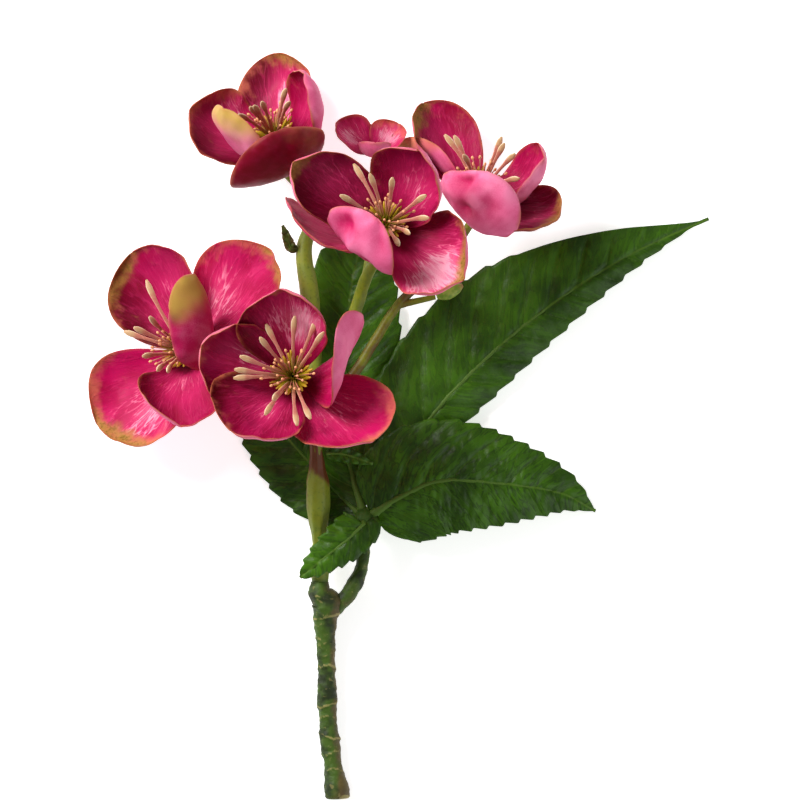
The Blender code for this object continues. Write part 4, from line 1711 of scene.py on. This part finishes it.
@dataclass(frozen=True)
class Studio:
    """The pale floor, the soft lights and the camera that looks down on the spray."""

    pixel: float = 0.38
    frame_pixels: int = 800
    middle: tuple[float, float] = (0.76, 9.12)
    camera_height: float = 3000.0
    floor_half: float = 12000.0
    floor_glow: float = 0.6
    floor_colour: Colour = tint(250, 250, 250)
    sky: float = 0.3
    softboxes: tuple[Softbox, ...] = (
        Softbox("key", (-0.85, 0.75, 0.85), 0.6, 26.0),
        Softbox("fill", (1.1, -0.7, 0.8), 1.2, 8.0),
    )

    def build(self) -> None:
        """Makes the floor, the lights and the camera."""
        self.floor()
        self.lights()
        self.camera()

    def floor(self) -> None:
        """Lays the plain floor, which isn't part of the spray."""
        sculpt = bmesh.new()
        bmesh.ops.create_grid(sculpt, x_segments=1, y_segments=1, size=self.floor_half * MM)
        mesh = bpy.data.meshes.new("floor")
        sculpt.to_mesh(mesh)
        sculpt.free()
        g = Graph("floor", roughness=0.9, shine=0.0)
        g.shader.inputs["Base Color"].default_value = self.floor_colour
        g.shader.inputs["Emission Color"].default_value = WHITE
        g.shader.inputs["Emission Strength"].default_value = self.floor_glow
        mesh.materials.append(g.material)
        made = bpy.data.objects.new("floor", mesh)
        bpy.context.scene.collection.objects.link(made)

    def lights(self) -> None:
        """Hangs a key light at the upper left and a weak one at the lower right, under an even sky."""
        world = bpy.data.worlds.new("studio")
        bpy.context.scene.world = world
        world.use_nodes = True
        background = world.node_tree.nodes["Background"]
        background.inputs["Color"].default_value = WHITE
        background.inputs["Strength"].default_value = self.sky
        for softbox in self.softboxes:
            softbox.build()

    def camera(self) -> None:
        """Sets a long lens straight above the middle of the picture."""
        lens = bpy.data.cameras.new("camera")
        made = bpy.data.objects.new("camera", lens)
        bpy.context.scene.collection.objects.link(made)
        width = self.pixel * self.frame_pixels
        lens.sensor_width = 36.0
        lens.lens = lens.sensor_width * self.camera_height / width
        lens.clip_start = 0.1
        lens.clip_end = 100.0
        made.location = (self.middle[0] * MM, self.middle[1] * MM, self.camera_height * MM)
        bpy.context.scene.camera = made
        bpy.context.scene.view_settings.view_transform = "Standard"


BLOOMS = (
    Bloom(
        "bloom_left",
        (-77.0, 26.5, 15.0),
        (-0.6, 0.2, 0.77),
        (
            Sepal(115, (80, 50), 44, 42, (40, 35), twist=5, bend=-5, ochre=0.45, lean=1.2, blush=0.35,
                  pale=0.6, glow=(0.4, -0.3), painted_shade_and_tone=1.0),
            Sepal(50, (100, 80), 48, 42, (40, 20), twist=15, bend=-10, ochre=0.45, lean=-1, blush=0.6,
                  pale=0.75, glow=(0.45, 0.2), dark=0.1),
            Sepal(220, (80, 50), 44, 45, (50, 20), twist=-10, ochre=0.6, lean=1, blush=0.9, pale=1.0,
                  glow=(0.6, 0.4), dark=0.0),
            Sepal(275, (55, 60), 40, 41, (85, 30), twist=-20, bend=25, ochre=0.05, blush=0.1, pale=0.6,
                  glow=(0.3, 0.0), dark=0.35, painted_shade_and_tone=-0.5),
            Sepal(10, (80, -35), 45, 38, (55, 30), twist=-25, bend=10, back=Back.ROSE, back_ochre=0.8,
                  back_lean=0.9),
        ),
        ((-26.5, 8.5), (-22.5, 10), (-18, 28), (-16.5, 14), (-19, -1), (-13.5, -6.5), (-9.5, -7)),
    ),
    Bloom(
        "bloom_front",
        (-38.0, 16.5, 42.0),
        (-0.21, 0.2, 0.96),
        (
            Sepal(95, (65, 25), 39, 40, (50, 35), bend=-5, ochre=0.3, blush=0.3, pale=1.3, glow=(0.55, -0.3),
                  dark=0.2, painted_shade_and_tone=0.8, back_ochre=0.3, lip=1.2),
            Sepal(165, (80, 35), 39, 38, (55, 50), twist=-15, bend=-5, ochre=0.3, blush=0.5, pale=0.9,
                  glow=(0.4, -0.4), dark=0.25, painted_shade_and_tone=0.35, lip=1.0),
            Sepal(230, (60, 35), 39, 42, (20, 40), bend=5, ochre=0.2, blush=0.4, pale=0.5, glow=(0.4, 0.2),
                  dark=0.5, painted_shade_and_tone=-0.6, back_ochre=0.4, lip=1.0),
            Sepal(315, (85, 60), 43, 41, (45, 35), twist=-20, bend=10, ochre=0.35, lean=-1.2, blush=0.75,
                  pale=0.6, glow=(0.45, 0.05), dark=0.0, painted_shade_and_tone=-0.1),
            Sepal(-10, (80, -25), 48, 31, (15, -25), twist=-5, bend=38, ochre=0.05, blush=0.1),
        ),
        ((-12.5, 24.5), (-13.5, 16), (-0.5, 24), (8.5, 24), (10.5, 18), (-21, 9), (-23, 4), (-27.5, -0.5),
         (-11.5, -13), (-8.5, -7.5), (0.5, -17), (5.5, -14.5)),
    ),
    Bloom(
        "bloom_top",
        (-45.0, 104.0, 21.5),
        (-0.25, 0.75, 0.6),
        (
            Sepal(90, (105, 25), 43, 36, (30, 35), twist=-30, bend=-10, ochre=0.5, lean=-0.8, blush=0.5,
                  pale=0.9, glow=(0.55, -0.3), dark=0.4, painted_shade_and_tone=1.6),
            Sepal(5, (80, -25), 42, 38, (55, 40), twist=-5, bend=-5, roll=20, blush=0.2),
            Sepal(170, (85, 15), 38, 40, (65, 30), twist=-10, ochre=0.3, blush=0.7, pale=0.7,
                  glow=(0.5, -0.5), dark=0.3, painted_shade_and_tone=0.8, back=Back.WINE),
            Sepal(230, (75, -20), 45, 36, (35, 45), bend=5, roll=-15, blush=0.9, ochre=0.6, back_ochre=0.9),
            Sepal(278, (114, -28), 50, 43, (30, 35), twist=18, bend=8, ochre=0.3, blush=0.4, dark=0.8,
                  back=Back.WINE, back_ochre=0.22, back_lean=1.2),
        ),
        ((-15, 12), (-10.5, 15), (-9, 15.5), (-6, 17), (3, 22), (4.5, 17)),
    ),
    Bloom(
        "bloom_middle",
        (-4.5, 72.0, 58.5),
        (0.02, 0.42, 0.9),
        (
            Sepal(145, (90, 40), 43, 37, (80, 55), bend=10, ochre=0.55, blush=0.4, pale=0.4, glow=(0.6, -0.6),
                  dark=0.85, lip=1.0),
            Sepal(50, (60, 5), 39, 37, (65, 35), twist=15, bend=10, ochre=0.25, blush=0.3, pale=0.6,
                  glow=(0.5, -0.2), dark=0.3, painted_shade_and_tone=0.3, lip=1.0),
            Sepal(325, (85, 40), 44, 43, (40, 70), bend=-20, ochre=0.75, lean=1, blush=0.7, pale=1.7,
                  glow=(0.68, -0.25), dark=0.1, painted_shade_and_tone=0.8),
            Sepal(230, (90, -60), 48, 36, (15, 30), twist=-25, bend=8, roll=5, blush=0.1, ochre=0.0,
                  dents=((0.7, -0.5, 0.14, 3.4), (0.85, 0.5, 0.12, 2.2), (0.5, 0.3, 0.12, 2.4),
                         (0.6, -0.1, 0.1, -1.2))),
            Sepal(195, (105, 25), 38, 37, (5, 35), twist=-30, bend=-20, roll=40, blush=0.4, dark=0.3,
                  back=Back.ROSE),
        ),
        ((-12, 25), (-6, 21), (2.5, 19.5), (15, 13), (16, 4.5), (9, -1.5), (5, -6), (-17, 13)),
    ),
    Bloom(
        "bloom_right",
        (29.5, 84.0, 24.2),
        (0.18, 0.7, 0.69),
        (
            Sepal(125, (85, 60), 43, 34, (50, 65), bend=-5, ochre=0.65, lean=1.5, blush=0.2, dark=0.3,
                  painted_shade_and_tone=0.4),
            Sepal(140, (75, 110), 35, 26, (50, 65), bend=10, roll=55, ochre=0.5, blush=1.6, back_ochre=0.9),
            Sepal(250, (95, -40), 50, 40, (45, 40), twist=-5, bend=15, roll=-15, ochre=0.0, blush=0.1,
                  dents=((0.8, -0.5, 0.12, 4.0), (0.55, -0.1, 0.1, 3.2), (0.5, 0.4, 0.12, -1.6),
                         (0.75, 0.3, 0.1, 2.6))),
            Sepal(0, (80, -15), 40, 36, (55, 60), twist=-15, bend=-10, blush=0.2, pale=0.6, dark=0.3,
                  back_ochre=0.3),
            Sepal(325, (80, 45), 39, 35, (25, 50), twist=-5, bend=-15, ochre=0.75, dark=0.8, back=Back.WINE,
                  back_ochre=0.5),
        ),
        ((-12, 25), (-8.5, 24.5), (-5, 17), (9.5, 24), (10.5, 21.5), (14.5, 17.5), (16, 8)),
    ),
)

HALF_OPEN_BUD = Bloom(
    "half_open_bud",
    (-9.0, 101.5, 22.0),
    (0.05, 0.8, 0.6),
    (
        Sepal(148, (75, 50), 18, 21, (45, 50), ochre=0.0, blush=0.2, pale=1.1, dark=0.1, lip=0.3),
        Sepal(52, (75, 50), 15, 18, (50, 50), ochre=0.3, blush=0.6, pale=1.4, dark=0.0, lip=0.3),
        Sepal(95, (85, 65), 14, 18, (40, 40), ochre=0.0, blush=0.1, dark=0.5, lip=0.3),
        Sepal(270, (60, 0), 13, 15, (60, 60), ochre=0.2, blush=0.2, lip=0.3, back_ochre=0.4),
    ),
    receptacle=2.0,
)

LEAVES = (
    Leaf(
        "leaf_upper",
        (LEAF_JOINT, LEAF_JOINT_RADIUS),
        ((0, -16, 10.3), (16, 7, 9), (39, 30, 8), (62, 48, 7), (84, 62, 5), (102, 71, 3), (118, 78, 1.5)),
        half_widths=(28, 12),
        fall=(2, 4),
        teeth=17,
        fullness=(0.95, 1.4),
        smooth_from=0.55,
        vein_gap=13.0,
        wrinkle=0.3,
    ),
    Leaf(
        "leaf_lower",
        (LEAF_JOINT, LEAF_JOINT_RADIUS),
        ((0, -28, 17), (16, -21.5, 18), (39, -22.5, 15), (61, -26, 8), (75, -33, 1.5)),
        half_widths=(23, 20),
        fall=(4, 5),
        teeth=14,
        fullness=(0.35, 1.0),
        vein_gap=11.0,
        wrinkle=0.55,
    ),
    Leaf(
        "leaf_lobe",
        (LEAF_JOINT, LEAF_JOINT_RADIUS),
        ((-13.6, -38.4, 18.4), (-19, -43.5, 20), (-27, -49.8, 18.8), (-37, -58, 14.5)),
        half_widths=(7.5, 8),
        fall=(1, 1),
        teeth=6,
        fullness=(0.2, 0.75),
    ),
    Leaf(
        "leaf_back_left",
        (LEAF_JOINT, LEAF_JOINT_RADIUS),
        ((-24, -25, 5.5), (-36, -12, 3.5), (-52, 6, 2), (-66, 22, 1.2)),
        half_widths=(17, 8),
        fall=(2, 2),
        teeth=11,
        wrinkle=0.5,
    ),
    Leaf(
        "leaf_back_middle",
        (LEAF_JOINT, LEAF_JOINT_RADIUS),
        ((-18.5, -14, 7), (-20, 10, 5.5), (-18, 50, 4), (-11, 80, 1.5)),
        half_widths=(19, 20),
        fall=(1, 1),
        teeth=13,
        fullness=(0.8, 0.7),
    ),
    Leaf(
        "stalk_bract",
        ((-30.8, -11, 18), 3.1),
        ((-20, -11.5, 18), (-9.5, -15, 17)),
        half_widths=(3, 3),
        fall=(0.5, 0.5),
        teeth=0,
        vein_gap=4.0,
    ),
    Leaf(
        "upper_bract",
        ((-35.5, 66, 16.1), 3.1),
        ((-40.5, 67, 20), (-43.5, 75, 21.5)),
        half_widths=(2, 2),
        fall=(0.3, 0.3),
        teeth=0,
        vein_gap=4.0,
        slot="dark_bract",
    ),
)


def report(piece: bpy.types.Object) -> None:
    """Logs a finished piece and its number of faces."""
    logger.info("%s: %d faces", piece.name, len(piece.data.polygons))


def main() -> None:
    """Builds the spray piece by piece, then the studio round it."""
    logging.basicConfig(level=logging.INFO, format="%(message)s")
    petals, hearts, greens, stems = SepalFinish(), HeartFinish(), LeafFinish(), StemFinish()
    for bloom in BLOOMS:
        report(bloom.petals(petals, bloom.name + "_sepals"))
        for piece in bloom.heart(hearts, bloom.name + "_centre"):
            report(piece)
    report(HALF_OPEN_BUD.petals(petals, "half_open_bud_sepals"))
    report(GreenBud().build(stems))
    for leaf in LEAVES:
        for piece in leaf.build(greens):
            report(piece)
    report(WoodyStem().build(stems))
    report(FlowerStalk().build(BLOOMS, HALF_OPEN_BUD, stems))
    Studio().build()
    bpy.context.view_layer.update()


if __name__ == "__main__":
    main()
